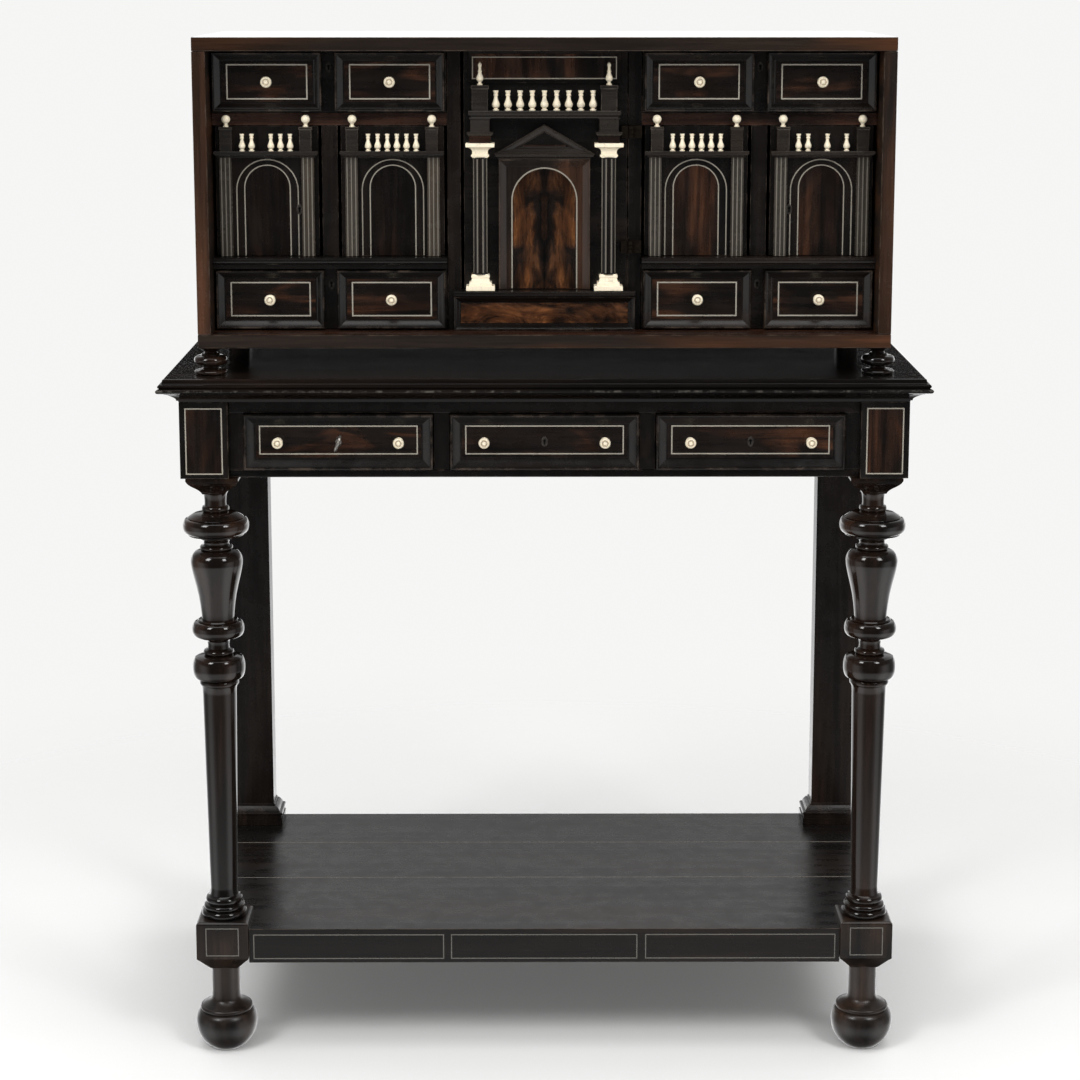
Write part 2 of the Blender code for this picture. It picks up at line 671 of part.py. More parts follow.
# Arched doors, each a leaf with two pilasters under a small balustrade
def build_arched_doors():
    openings = (("inner", upright_out, post_x - DOOR_POST / 2), ("outer", post_x + DOOR_POST / 2, inner_x))
    leaf_z = (door_foot + DOOR_GAP, door_top - DOOR_GAP)
    floor_top = leaf_z[1] - PLATFORM_DROP
    floor_foot = floor_top - PLATFORM_HEIGHT
    ball_top = top_row_foot - BALL_CLEAR
    block_top_z = ball_top - BALL - BALL_NECK
    rail_y = face_y - END_BLOCK / 2
    ball = [(ball_top, 0.0)] + bead(ball_top, ball_top - BALL, 0.0, BALL / 2)[1:-1]
    ball += [(block_top_z + BALL_NECK, BALL * 0.2), (block_top_z - OVERLAP, BALL * 0.35)]
    ball += [(block_top_z - OVERLAP, 0.0)]
    for word, side in SIDES:
        for place, near, far in openings:
            name = "door_%s_%s" % (word, place)
            middle = side * (near + far) / 2
            half = (far - near) / 2 - DOOR_SIDE_GAP
            pin_x = side * ((near + far) / 2 + (half - DOOR_PIN_IN))
            leaf = block(name, span(middle, 2 * (half - DOOR_LEAF_INSET)), (face_y, face_y + DOOR_THICKNESS),
                         leaf_z, ROSEWOOD)
            floor_y = (face_y - PLATFORM_PROUD, face_y + OVERLAP)
            pieces = [block(name + "_floor", span(middle, 2 * half), floor_y, (floor_foot, floor_top), EBONY)]
            for count, step in enumerate((-1, 1)):
                pieces.append(block("%s_pilaster_%d" % (name, count),
                                    span(middle + step * PILASTER_OFFSET, PILASTER_WIDTH),
                                    (face_y - PILASTER_PROUD, face_y + OVERLAP),
                                    (leaf_z[0], floor_foot + OVERLAP), EBONY))
                x = middle + step * END_BLOCK_OFFSET
                pieces.append(block("%s_end_%d" % (name, count), span(x, END_BLOCK),
                                    (face_y - END_BLOCK, face_y - GAP),
                                    (floor_top - OVERLAP, block_top_z), EBONY))
                pieces.append(turned("%s_ball_%d" % (name, count), ball, (x, rail_y, 0), BONE,
                                     BALUSTER_STEPS + 2))
            pieces += baluster_row(name, middle, rail_y, floor_top, BALUSTER_HEIGHT, BALUSTER_COUNT,
                                   BALUSTER_PITCH)
            join(leaf, pieces)
            set_origin(leaf, (pin_x, face_y - PLATFORM_PROUD + DOOR_PIN_IN, 0))


# Plinth of the centre door: the cupboard's floor, the board under it and its mouldings
def build_plinth():
    wide = upright_in + PLINTH_LAP
    inside = (-upright_in + GAP, upright_in - GAP)
    cornice_foot = plinth_top - PLINTH_CORNICE
    plinth = block("centre_plinth", inside, (face_y - PLINTH_PROUD / 2, back_front - GAP),
                   (plinth_top - PLINTH_FLOOR, plinth_top), ROSEWOOD)
    board = block("plinth_board", inside, (face_y - PLINTH_PROUD / 2, face_y + BOARD),
                  (inner_foot + GAP, plinth_top - OVERLAP), ROSEWOOD)
    panel = moulded("plinth_panel", (-wide, wide), (face_y - PLINTH_PROUD + FRAME_BEAD, face_y - GAP),
                    (inner_foot + GAP, cornice_foot + OVERLAP), frame_steps(), ROSEWOOD)
    cornice_y = (face_y - PLINTH_CORNICE_PROUD + FRAME_BEAD, face_y - GAP)
    cornice = moulded("plinth_cornice", (-wide, wide), cornice_y, (cornice_foot, plinth_top),
                      ((FRAME_BEAD, FRAME_BEAD),), EBONY)
    join(plinth, [board, panel, cornice])


# Centre door: a leaf that carries a portico, a balcony and two columns, on hinges at its right
def build_centre_door():
    foot = plinth_top + DOOR_GAP
    top = inner_top - DOOR_GAP
    panel_foot = top - TOP_PANEL
    block_top_z = panel_foot - FRAME_BEAD
    floor_top = block_top_z - BALCONY_BLOCK_HEIGHT
    floor_foot = floor_top - BALCONY_FLOOR
    capital_top = floor_foot - ENTABLATURE
    apex = floor_foot - PEDIMENT_DROP
    gable_foot = apex - PEDIMENT_HEIGHT
    rail_y = face_y - BALCONY_BLOCK / 2
    front = face_y - COLUMN_PROUD
    pin = (upright_in + HINGE_PIN_OFFSET, front + PIN_BEHIND_COLUMNS)
    depth = (front, face_y + OVERLAP)

    door = block("portico_door", (-upright_in + CENTRE_FREE_GAP, upright_in - CENTRE_HINGE_GAP),
                 (face_y, face_y + DOOR_THICKNESS), (foot, top), ROSEWOOD)
    pieces = [
        moulded("portico_panel", span(0, BALCONY_WIDTH), (face_y - TOP_PANEL_PROUD, face_y + OVERLAP),
                (panel_foot, top), ((FRAME_RIM / 2, 0.0), (FRAME_BEAD, -FRAME_BEAD)), EBONY),
        block("portico_floor", span(0, BALCONY_WIDTH), depth, (floor_foot, floor_top), EBONY),
        moulded("portico_surround", span(0, SURROUND_WIDTH), (face_y - SURROUND_PROUD, face_y + OVERLAP),
                (foot, gable_foot + OVERLAP), ((SURROUND_RIM, 0.0), (FRAME_BEAD, -SURROUND_PROUD / 2)),
                EBONY),
        gable("portico_gable", PEDIMENT_WIDTH, (face_y - PEDIMENT_PROUD, face_y + OVERLAP),
              (gable_foot, apex), EBONY),
    ]
    pieces += baluster_row("portico", 0, rail_y, floor_top, BALCONY_BALUSTER, BALCONY_COUNT, BALCONY_PITCH)
    for word, side in SIDES:
        x = side * COLUMN_OFFSET
        pieces.append(block("portico_entablature_" + word, span(x, COLUMN_BASE * 0.85), depth,
                            (capital_top, floor_foot + OVERLAP), EBONY))
        pieces.append(block("portico_end_" + word, span(x, BALCONY_BLOCK),
                            (face_y - BALCONY_BLOCK, face_y + OVERLAP),
                            (floor_top - OVERLAP, block_top_z), EBONY))
        pieces.append(turned("portico_urn_" + word, urn_profile(block_top_z), (x, rail_y, 0), BONE,
                             BALUSTER_STEPS))
    plate_x = (upright_in - PLINTH_LAP, pin[0] - HINGE_BARREL - GAP)
    for word, rise in (("upper", HINGE_HIGH), ("lower", HINGE_LOW)):
        z = span(plinth_top + rise, HINGE_HEIGHT)
        pieces.append(block("portico_plate_" + word, plate_x,
                            (pin[1] - HINGE_BARREL / 2, face_y + OVERLAP), z, HINGE_BRASS))
        hinge = block("portico_hinge_" + word, (pin[0] - HINGE_BARREL / 3, upright_out - GAP),
                      (pin[1], face_y - GAP), z, HINGE_BRASS)
        barrel = [(z[1], 0.0), (z[1], HINGE_BARREL), (z[0], HINGE_BARREL), (z[0], 0.0)]
        join(hinge, [turned("hinge_barrel_" + word, barrel, (*pin, 0), HINGE_BRASS, SMALL_TURN_STEPS)])
    join(door, pieces)
    set_origin(door, (*pin, 0))
    for word, side in SIDES:
        build_column("portico_column_" + word, side * COLUMN_OFFSET, foot, capital_top - GAP)


def gable(name, width, y, z, look):
    # a block whose top is drawn together to a ridge
    bm = box_mesh(span(0, width), y, z)
    for vert in bm.verts:
        if vert.co.z > sum(z) / 2:
            vert.co.x = 0
    bmesh.ops.remove_doubles(bm, verts=bm.verts, dist=0.00001)
    return add_piece(name, bm, look)


def urn_profile(foot):
    top = foot + URN
    profile = [(top, 0.0), (top - URN * 0.04, URN_RADIUS * 0.35)]
    profile += bead(top - URN * 0.10, top - URN * 0.62, URN_RADIUS * 0.35, URN_RADIUS, 4)
    profile += [(top - URN * 0.74, URN_RADIUS * 0.40), (top - URN * 0.86, URN_RADIUS * 0.90)]
    profile += [(foot - OVERLAP, URN_RADIUS), (foot - OVERLAP, 0.0)]
    return profile


def build_column(name, x, foot, top):
    middle_y = face_y - COLUMN_PROUD / 2
    deep = COLUMN_PROUD - 2 * GAP
    base_top = foot + COLUMN_BASE_HEIGHT
    capital_foot = top - CAPITAL_HEIGHT

    def tier(z, share):
        return (z, span(x, COLUMN_BASE * share), span(middle_y, deep * share))

    base_tiers = [tier(foot, 1.0), tier(foot + COLUMN_BASE_HEIGHT * 0.5, 1.0)]
    base_tiers += [tier(foot + COLUMN_BASE_HEIGHT * 0.55, 0.88), tier(base_top, 0.78)]
    base = stacked(name, base_tiers, BONE)
    capital_tiers = [tier(capital_foot, 0.70), tier(capital_foot + CAPITAL_HEIGHT * 0.45, 0.80)]
    capital_tiers += [tier(capital_foot + CAPITAL_HEIGHT * 0.5, 1.0), tier(top, 1.0)]
    capital = stacked(name + "_capital", capital_tiers, BONE)
    profile = [(capital_foot + OVERLAP, 0.0), (capital_foot + OVERLAP, COLUMN_RADIUS * 0.92)]
    profile += [(base_top - OVERLAP, COLUMN_RADIUS), (base_top - OVERLAP, 0.0)]
    join(base, [turned(name + "_shaft", profile, (x, middle_y, 0), EBONY, SMALL_TURN_STEPS), capital])


build_stand_top()
build_frieze()
build_front_legs()
build_rear_legs()
build_shelf()
build_feet()
build_stand_drawers()
build_case()
build_cabinet_feet()
build_cabinet_drawers()
build_arched_doors()
build_plinth()
build_centre_door()
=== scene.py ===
import math

import bpy
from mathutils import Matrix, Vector


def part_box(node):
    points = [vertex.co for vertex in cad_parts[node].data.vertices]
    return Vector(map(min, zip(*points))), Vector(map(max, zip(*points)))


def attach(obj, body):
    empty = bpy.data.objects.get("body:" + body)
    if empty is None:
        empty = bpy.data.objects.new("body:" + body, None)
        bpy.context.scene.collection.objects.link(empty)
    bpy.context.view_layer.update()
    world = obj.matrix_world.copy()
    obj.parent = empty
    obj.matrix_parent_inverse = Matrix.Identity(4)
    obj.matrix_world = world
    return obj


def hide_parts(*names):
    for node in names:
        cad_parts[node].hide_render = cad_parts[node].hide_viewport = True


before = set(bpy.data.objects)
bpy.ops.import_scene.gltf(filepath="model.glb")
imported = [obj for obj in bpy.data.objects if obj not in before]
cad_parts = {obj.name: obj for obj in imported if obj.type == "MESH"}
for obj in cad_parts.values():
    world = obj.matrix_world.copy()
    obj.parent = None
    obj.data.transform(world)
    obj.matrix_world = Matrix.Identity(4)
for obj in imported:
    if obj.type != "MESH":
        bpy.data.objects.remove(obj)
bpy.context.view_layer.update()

fixedBody = "case_and_stand"
sides = (("left", -1), ("right", 1))
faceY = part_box("bay_upright_left")[0].y  # front of the bays
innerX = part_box("bay_upright_right")[0].x  # half the width between the bays
# how far pieces run into or stand on one another
lap, cover, sink, veneer, thin = 0.0005, 0.0004, 0.0003, 0.0002, 0.0001
near = 0.00001  # two points closer than this are one
core = 0.002  # how far a veneered field runs back
mm, percent = 1000, 100  # parts of a metre and of a whole


# handling

def only(*pieces):
    bpy.ops.object.select_all(action="DESELECT")
    for piece in pieces:
        piece.select_set(True)
    bpy.context.view_layer.objects.active = pieces[0]


def openEdit(kind="FACE"):
    bpy.ops.object.mode_set(mode="EDIT")
    bpy.ops.mesh.select_mode(type=kind)


def editAll(kind="FACE"):
    openEdit(kind)
    bpy.ops.mesh.select_all(action="SELECT")


def closeEdit():
    bpy.ops.object.mode_set(mode="OBJECT")


def settle():
    bpy.ops.object.transform_apply(location=True, rotation=True, scale=True)


def pull(x=0, y=0, z=0):
    bpy.ops.mesh.extrude_region_move(TRANSFORM_OT_translate={"value": (x, y, z)})


def pick(piece, kind, test):
    # leaves edit mode open with the faces or edges that pass selected
    openEdit(kind)
    bpy.ops.mesh.select_all(action="DESELECT")
    closeEdit()
    points = piece.data.vertices
    if kind == "FACE":
        for face in piece.data.polygons:
            face.select = test(face.center, face.normal)
    else:
        for edge in piece.data.edges:
            edge.select = test((points[edge.vertices[0]].co + points[edge.vertices[1]].co) / 2)
    openEdit(kind)


def faceOut(piece):
    only(piece)
    editAll()
    bpy.ops.mesh.remove_doubles(threshold=near)
    bpy.ops.mesh.normals_make_consistent(inside=False)
    closeEdit()
    return piece


def markFaces(piece, name, amount):
    # a share from 0 to 1 on each face, which the finishes read
    if name not in piece.data.attributes:
        piece.data.attributes.new(name, "FLOAT", "FACE")
    marks = piece.data.attributes[name].data
    for face in piece.data.polygons:
        marks[face.index].value = amount(face)


def startPiece(name, primitive, scale=(1, 1, 1), **settings):
    bpy.ops.object.select_all(action="DESELECT")
    primitive(**settings)
    piece = bpy.context.object
    piece.name = name
    piece.scale = scale
    settle()
    return piece


def addBlank(name, low, high):
    # a square blank between two corners, to be worked further
    low, high = Vector(low), Vector(high)
    return startPiece(name, bpy.ops.mesh.primitive_cube_add, high - low, size=1, location=(low + high) / 2)


def roundEdges(piece, edge):
    # the slanting faces of the rounded edges carry the rubbed look
    editAll("EDGE")
    bpy.ops.mesh.bevel(offset=edge, segments=2, profile=0.6)
    closeEdit()
    markFaces(piece, "wear", lambda face: float(max(abs(part) for part in face.normal) < 0.995))
    return piece


def addBoard(name, low, high, edge):
    return roundEdges(addBlank(name, low, high), edge)


def workFront(piece, steps):
    # works the front face inwards, one (inset, rise) step after the other
    only(piece)
    front = min(face.center.y for face in piece.data.polygons)
    pick(piece, "FACE", lambda middle, normal: normal.y < -0.9 and middle.y < front + near)
    for inset, rise in steps:
        bpy.ops.mesh.inset(thickness=inset, depth=rise)
    closeEdit()
    # the rounded bead that stands above the old front is rubbed
    markFaces(piece, "wear", lambda face: 0.8 * (face.center.y < front - thin and face.normal.y > -0.995))
    return piece


def turnPiece(name, axis, profile, turns):
    # a lathe piece: profile points are (height, radius) from one end to the other
    height, radius = profile[0]
    piece = startPiece(name, bpy.ops.mesh.primitive_circle_add, vertices=turns, radius=radius, fill_type="NGON",
        location=(axis[0], axis[1], height))
    editAll()
    for nextHeight, nextRadius in profile[1:]:
        pull(z=nextHeight - height)
        grow = nextRadius / radius
        bpy.ops.transform.resize(value=(grow, grow, 1))
        height, radius = nextHeight, nextRadius
    closeEdit()
    return faceOut(piece)


def stackPiece(name, levels):
    # a squared piece carried through levels of (height, x range, y range)
    z, x, y = levels[0]
    piece = startPiece(name, bpy.ops.mesh.primitive_plane_add, (x[1] - x[0], y[1] - y[0], 1), size=1,
        location=(sum(x) / 2, sum(y) / 2, z))
    editAll()
    for nextZ, nextX, nextY in levels[1:]:
        pull((sum(nextX) - sum(x)) / 2, (sum(nextY) - sum(y)) / 2, nextZ - z)
        grow = ((nextX[1] - nextX[0]) / (x[1] - x[0]), (nextY[1] - nextY[0]) / (y[1] - y[0]), 1)
        bpy.ops.transform.resize(value=grow)
        z, x, y = nextZ, nextX, nextY
    closeEdit()
    return faceOut(piece)


def squarePiece(name, middle, wide, deep, steps):
    # squared levels round an upright axis, from (height, share of the half width and depth)
    return stackPiece(name, [(z, (middle.x - wide * share, middle.x + wide * share),
        (middle.y - deep * share, middle.y + deep * share)) for z, share in steps])


def nosedPiece(name, steps, low, high, proud, narrow):
    # the front, and the ends by the share narrow, step back from the box as (rise, reach) says
    levels = []
    for rise, reach in steps:
        back = proud * (1 - reach)
        levels.append((low[2] + (high[2] - low[2]) * rise, (low[0] + back * narrow, high[0] - back * narrow),
            (low[1] + back, high[1])))
    return stackPiece(name, levels)


def addUpright(name, x, z, y):
    # a flat sheet that faces the front
    return startPiece(name, bpy.ops.mesh.primitive_plane_add, (x[1] - x[0], z[1] - z[0], 1), size=1,
        location=(sum(x) / 2, y, sum(z) / 2), rotation=(math.radians(90), 0, 0))


def thicken(sheet, proud):
    # pulls an open sheet to the front
    bpy.ops.mesh.select_mode(type="FACE")
    bpy.ops.mesh.select_all(action="SELECT")
    pull(y=-proud)
    closeEdit()
    return faceOut(sheet)


def lineFrame(name, x, z, y, width=0.0012):
    # a thin inlaid line round a rectangle
    line = addUpright(name, x, z, y)
    editAll()
    bpy.ops.mesh.inset(thickness=width)
    bpy.ops.mesh.delete(type="FACE")
    return thicken(line, sink)


def archLine(name, middle, half, foot, spring, y, width=0.0013, proud=sink):
    # a thin inlaid line up one side, over an arch and down the other side
    line = addUpright(name, (middle - half - width / 2, middle - half + width / 2), (foot, spring), y)
    pick(line, "EDGE", lambda point: point.z > spring - near)
    bpy.ops.mesh.spin(steps=28, angle=-math.pi, center=(middle, y, spring), axis=(0, 1, 0))
    pull(z=foot - spring)
    bpy.ops.mesh.select_mode(type="FACE")
    bpy.ops.mesh.select_all(action="SELECT")
    bpy.ops.mesh.normals_make_consistent(inside=False)
    return thicken(line, proud)


def archPanel(name, middle, half, foot, spring, y, proud):
    # a filled round-headed panel
    panel = startPiece(name, bpy.ops.mesh.primitive_circle_add, vertices=56, radius=half, fill_type="NGON",
        location=(middle, y, spring), rotation=(math.radians(90), 0, 0))
    editAll()
    bpy.ops.mesh.bisect(plane_co=(middle, y, spring), plane_no=(0, 0, 1), clear_inner=True)
    closeEdit()
    pick(panel, "EDGE", lambda point: abs(point.z - spring) < near)
    pull(z=foot - spring)
    return thicken(panel, proud)


def copyPiece(piece, name, x):
    only(piece)
    bpy.ops.object.duplicate()
    copy = bpy.context.object
    copy.name = name
    copy.location.x = x
    settle()
    return copy


def layDown(piece, place):
    # lays an upright turned piece down with its top to the front, and sets it in place
    only(piece)
    piece.rotation_euler.x = math.radians(90)
    settle()
    piece.location = place
    settle()
    return piece


def dress(piece, finish, slotName, *nodes, body=fixedBody):
    only(piece)
    piece.data.materials.clear()
    piece.data.materials.append(finish)
    bpy.ops.object.shade_smooth_by_angle(angle=math.radians(27))
    # large flat faces keep their own normal, and only the rounded edges shade over
    bpy.ops.object.modifier_add(type="WEIGHTED_NORMAL")
    piece.modifiers[-1].keep_sharp = True
    bpy.ops.object.modifier_apply(modifier=piece.modifiers[-1].name)
    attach(piece, body)
    if nodes:
        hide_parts(*nodes)


def unite(name, pieces, *looks, body=fixedBody):
    only(*pieces)
    if len(pieces) > 1:
        bpy.ops.object.join()
    pieces[0].name = name
    dress(pieces[0], *looks, body=body)


def pairs(first, second, *numbers):
    # a flat list of numbers taken two by two, each of them a part of its unit
    return [(one / first, other / second) for one, other in zip(numbers[::2], numbers[1::2])]


def bead(start, end, side, full, count=8):
    # numbers for half a round, from height start to height end
    numbers = []
    for step in range(count + 1):
        turn = math.pi * step / count
        numbers.append((start + end) / 2 + (start - end) / 2 * math.cos(turn))
        numbers.append(side + (full - side) * math.sin(turn))
    return numbers


def camel(node):
    words = node.split("_")
    return words[0] + "".join(word.capitalize() for word in words[1:])


# finishes

tree = {}  # nodes and links of the material in work


def fill(node, sockets):
    # each socket takes a link from another socket, or a plain value
    for name, value in sockets.items():
        socket = node.inputs[name]
        if isinstance(value, bpy.types.NodeSocket):
            tree["links"].new(value, socket)
        else:
            socket.default_value = (*value, 1) if socket.type == "RGBA" else value
    return node


def addNode(kind, sockets, **settings):
    node = tree["nodes"].new("ShaderNode" + kind)
    for name, value in settings.items():
        setattr(node, name, value)
    return fill(node, sockets)


def startTree(owner):
    owner.use_nodes = True
    tree.update(nodes=owner.node_tree.nodes, links=owner.node_tree.links)


def startFinish(name):
    finish = bpy.data.materials.new(name)
    startTree(finish)
    return finish, addNode("TexCoord", {}).outputs["Object"], tree["nodes"]["Principled BSDF"]


def mapTo(source, scale, offset=(0, 0, 0), lean=0):
    return addNode("Mapping", {"Vector": source, "Rotation": (0, lean, 0), "Location": offset,
        "Scale": scale}).outputs["Vector"]


def addNoise(source, scale, detail, rough, swirl=0):
    return addNode("TexNoise", {"Vector": source, "Scale": scale, "Detail": detail, "Roughness": rough,
        "Distortion": swirl}).outputs["Fac"]


def addRamp(source, stops):
    # stops are (place, grey) or (place, red, green, blue)
    ramp = addNode("ValToRGB", {"Fac": source})
    bar = ramp.color_ramp.elements
    while len(bar) < len(stops):
        bar.new(0.5)
    for element, (place, *color) in zip(bar, stops):
        element.position = place
        element.color = (*color, 1) if len(color) == 3 else (*color * 3, 1)
    return ramp.outputs["Color"]


def tones(stops):
    # wood and metal colours are written in thousandths
    return [(place, *(part / 1000 for part in color)) for place, *color in stops]


def addMix(kind, amount, first, second):
    return addNode("Mix", {"Factor": amount, 6: first, 7: second}, data_type="RGBA", blend_type=kind).outputs[2]


def times(first, second):
    return addMix("MULTIPLY", 1, first, second)


def addBump(height, strength, distance):
    return addNode("Bump", {"Strength": strength, "Distance": distance, "Height": height}).outputs["Normal"]


def addSpan(source, ends, values=(0, 1)):
    # a soft step from the first value to the second
    return addNode("MapRange", {"Value": source, "From Min": ends[0], "From Max": ends[1], "To Min": values[0],
        "To Max": values[1]}, interpolation_type="SMOOTHSTEP").outputs[0]


def woodFinish(name, grain, look, offset=(0, 0, 0), bookmatch=False):
    # dark streaked wood, lighter figure in long zones, fine fibres, a colour laid on the marked faces and
    # patchy polish; on most finishes the marked faces are rubbed edges, on the pediment they carry a painted
    # shade
    finish, place, shader = startFinish(name)
    if bookmatch:
        parts = addNode("SeparateXYZ", {0: place}).outputs
        fold = addNode("Math", {0: parts["X"]}, operation="ABSOLUTE").outputs[0]
        place = addNode("CombineXYZ", {"X": fold, "Y": parts["Y"], "Z": parts["Z"]}).outputs[0]
    lean = look.get("lean", 0)

    def stretch(along, across, lean=0):
        return mapTo(place, tuple(along if axis == grain else across for axis in "xyz"), offset, lean)

    streak = addNoise(stretch(look["along"], look["across"], lean), 1, 8, 0.62, look["swirl"])
    zone = addNoise(stretch(look["zoneAlong"], look["zoneAcross"], lean), 1, 3, 0.5, look["zoneSwirl"])
    fibre = addNoise(stretch(look["along"] * 6, look["across"] * 9), 1, 4, 0.65)
    color = addMix("MIX", addRamp(zone, look["zone"]), addRamp(streak, tones(look["dark"])),
        addRamp(streak, tones(look["light"])))
    color = times(color, addRamp(fibre, ((0.3, look["fibreDark"]), (0.66, 1))))
    if bookmatch:
        # the joint of the two leaves and the head of the panel are dark
        color = times(color, addRamp(fold, ((0.0008, 0.14), (0.006, 1))))
        color = times(color, addSpan(parts["Z"], look["head"], (1, 0.3)))
    # the marked faces take the look's rubbed colour, and in the pediment's quirks and field a near-black
    # painted shade
    mark = addNode("Attribute", {}, attribute_name="wear").outputs["Color"]
    rub = addNoise(place, look.get("wearScale", 48), 5, 0.62)
    wornAndShaded = times(mark, addRamp(rub, ((look["wearFrom"], 0), (look["wearFrom"] + 0.2, look["wearAmount"]))))
    polish = addMix("MIX", 0.5, streak, rub)
    fill(shader, {"Base Color": addMix("MIX", wornAndShaded, color, look["wearColor"]),
        "Roughness": addRamp(polish, ((0.34, look["rough"][0]), (0.66, look["rough"][1]))),
        "Specular IOR Level": look["shine"], "Normal": addBump(fibre, look["bump"], 0.0004)})
    return finish


ebonyLook = dict(along=2.4, across=46, swirl=0.3, zoneAlong=2, zoneAcross=11, zoneSwirl=0.4,
    dark=((0.35, 3.4, 2.9, 2.6), (0.7, 7.2, 5.6, 4.7)),
    light=((0.35, 6, 4.4, 3.6), (0.55, 15, 9, 6.2), (0.75, 36, 17.5, 10.5)), zone=((0.44, 0), (0.7, 0.85)),
    fibreDark=0.6, wearColor=(0.07, 0.048, 0.034), wearAmount=0.75, wearFrom=0.46, rough=(0.18, 0.34),
    shine=0.5, bump=0.1)
friezeLook = dict(ebonyLook, rough=(0.4, 0.56), shine=0.16)
turnedLook = dict(ebonyLook, rough=(0.06, 0.15), zone=((0.38, 0), (0.64, 1)), zoneAcross=16,
    light=((0.35, 6, 4.2, 3.4), (0.55, 21, 11, 7), (0.75, 52, 24, 13)))
topLook = dict(ebonyLook, rough=(0.1, 0.17), shine=0.3, wearColor=(0.12, 0.11, 0.095), wearAmount=0.6,
    wearFrom=0.5, wearScale=110)
footLook = dict(turnedLook, rough=(0.24, 0.42), zone=((0.34, 0), (0.58, 1)), zoneAlong=14,
    light=((0.35, 9, 6.2, 4.8), (0.55, 32, 18, 11.2), (0.75, 74, 40, 24)))
shelfLook = dict(ebonyLook, rough=(0.21, 0.36), across=70, bump=0.07, wearColor=(0.085, 0.062, 0.045),
    wearFrom=0.36)
caseLook = dict(ebonyLook, zone=((0.42, 0), (0.6, 1)), rough=(0.16, 0.3), zoneAlong=3, zoneAcross=22,
    dark=((0.35, 8.8, 6.4, 5.2), (0.7, 19, 12.2, 8.8)),
    light=((0.35, 16, 9, 5.6), (0.55, 43, 19, 9.8), (0.75, 98, 38, 17)))
# the sides and the lower board of the case have lost their polish
sideLook = dict(caseLook, rough=(0.42, 0.58), shine=0.14)
dullLook = dict(caseLook, rough=(0.5, 0.64), shine=0.08, dark=((0.35, 12.5, 9.4, 7.8), (0.7, 26, 17.6, 13)))
# seen along its surface the polished upper board mirrors the pale studio
lidLook = dict(dullLook, rough=(0.05, 0.11), shine=0.5, bump=0.004)
rosewoodLook = dict(along=3.4, across=52, swirl=0.9, zoneAlong=4, zoneAcross=16, zoneSwirl=1.2,
    dark=((0.36, 4, 3, 2.5), (0.66, 12, 6.2, 4)),
    light=((0.34, 9, 4.4, 2.8), (0.5, 40, 14, 5.8), (0.72, 125, 42, 13)), zone=((0.46, 0), (0.68, 1)),
    fibreDark=0.5, wearColor=(0.09, 0.05, 0.03), wearAmount=0.6, wearFrom=0.46, rough=(0.2, 0.34), shine=0.45,
    bump=0.1)
darkPanelLook = dict(rosewoodLook, zone=((0.5, 0), (0.68, 1)), zoneAlong=7, zoneAcross=30, swirl=1.4)
doorPanelLook = dict(rosewoodLook, zone=((0.53, 0), (0.84, 0.5)), zoneAlong=5, zoneAcross=14,
    dark=((0.36, 2.6, 2, 1.7), (0.66, 7.8, 4.2, 2.8)))
warmPanelLook = dict(rosewoodLook, zone=((0.38, 0), (0.64, 0.9)), zoneAlong=5, zoneAcross=18)
pilasterLook = dict(ebonyLook, dark=((0.35, 28, 24, 19), (0.7, 52, 44, 35)),
    light=((0.35, 42, 32, 23), (0.7, 82, 61, 41)))
# the pediment's wood is a lighter copy of the ebony, a painted sheen on its bands; the near-black colour laid
# on its marked quirks and field is a painted shade
gableLook = dict(pilasterLook, dark=((0.35, 12, 10, 8.5), (0.7, 25, 20, 16.5)),
    light=((0.35, 19, 14, 10.5), (0.7, 42, 29, 19)), wearColor=(0.004, 0.0034, 0.003), wearAmount=1, wearFrom=0)
trimLook = dict(gableLook, wearColor=(0.085, 0.066, 0.05), wearAmount=0.8, wearFrom=0.42)
redRailLook = dict(rosewoodLook, zone=((0.32, 0.05), (0.62, 1)), zoneAlong=3, zoneAcross=20,
    light=((0.34, 14, 6.6, 4.2), (0.5, 42, 15, 7.8), (0.72, 98, 34, 15)))
figuredLook = dict(rosewoodLook, along=9, across=46, swirl=2.2, zone=((0.38, 0), (0.6, 1)), zoneAlong=16,
    zoneAcross=34, lean=0.35, head=(0.965, 1.024), fibreDark=0.4,
    light=((0.32, 8, 3.6, 2), (0.48, 76, 25, 6.4), (0.7, 260, 90, 19)))
burlLook = dict(figuredLook, along=12, across=28, swirl=2.6, zone=((0.36, 0), (0.54, 1)), zoneAlong=8, lean=0,
    light=((0.32, 10, 4.4, 2.4), (0.48, 100, 31, 7.2), (0.7, 340, 112, 23)))
oakLook = dict(ebonyLook, along=2.5, across=60, swirl=0.4, zoneAcross=12, zoneSwirl=0.5,
    dark=((0.32, 55, 28, 14), (0.7, 110, 60, 30)), light=((0.32, 85, 46, 23), (0.7, 170, 100, 52)),
    zone=((0.35, 0), (0.65, 1)), wearColor=(0.2, 0.13, 0.08), wearAmount=0.6, rough=(0.48, 0.7), shine=0.4,
    bump=0.22)


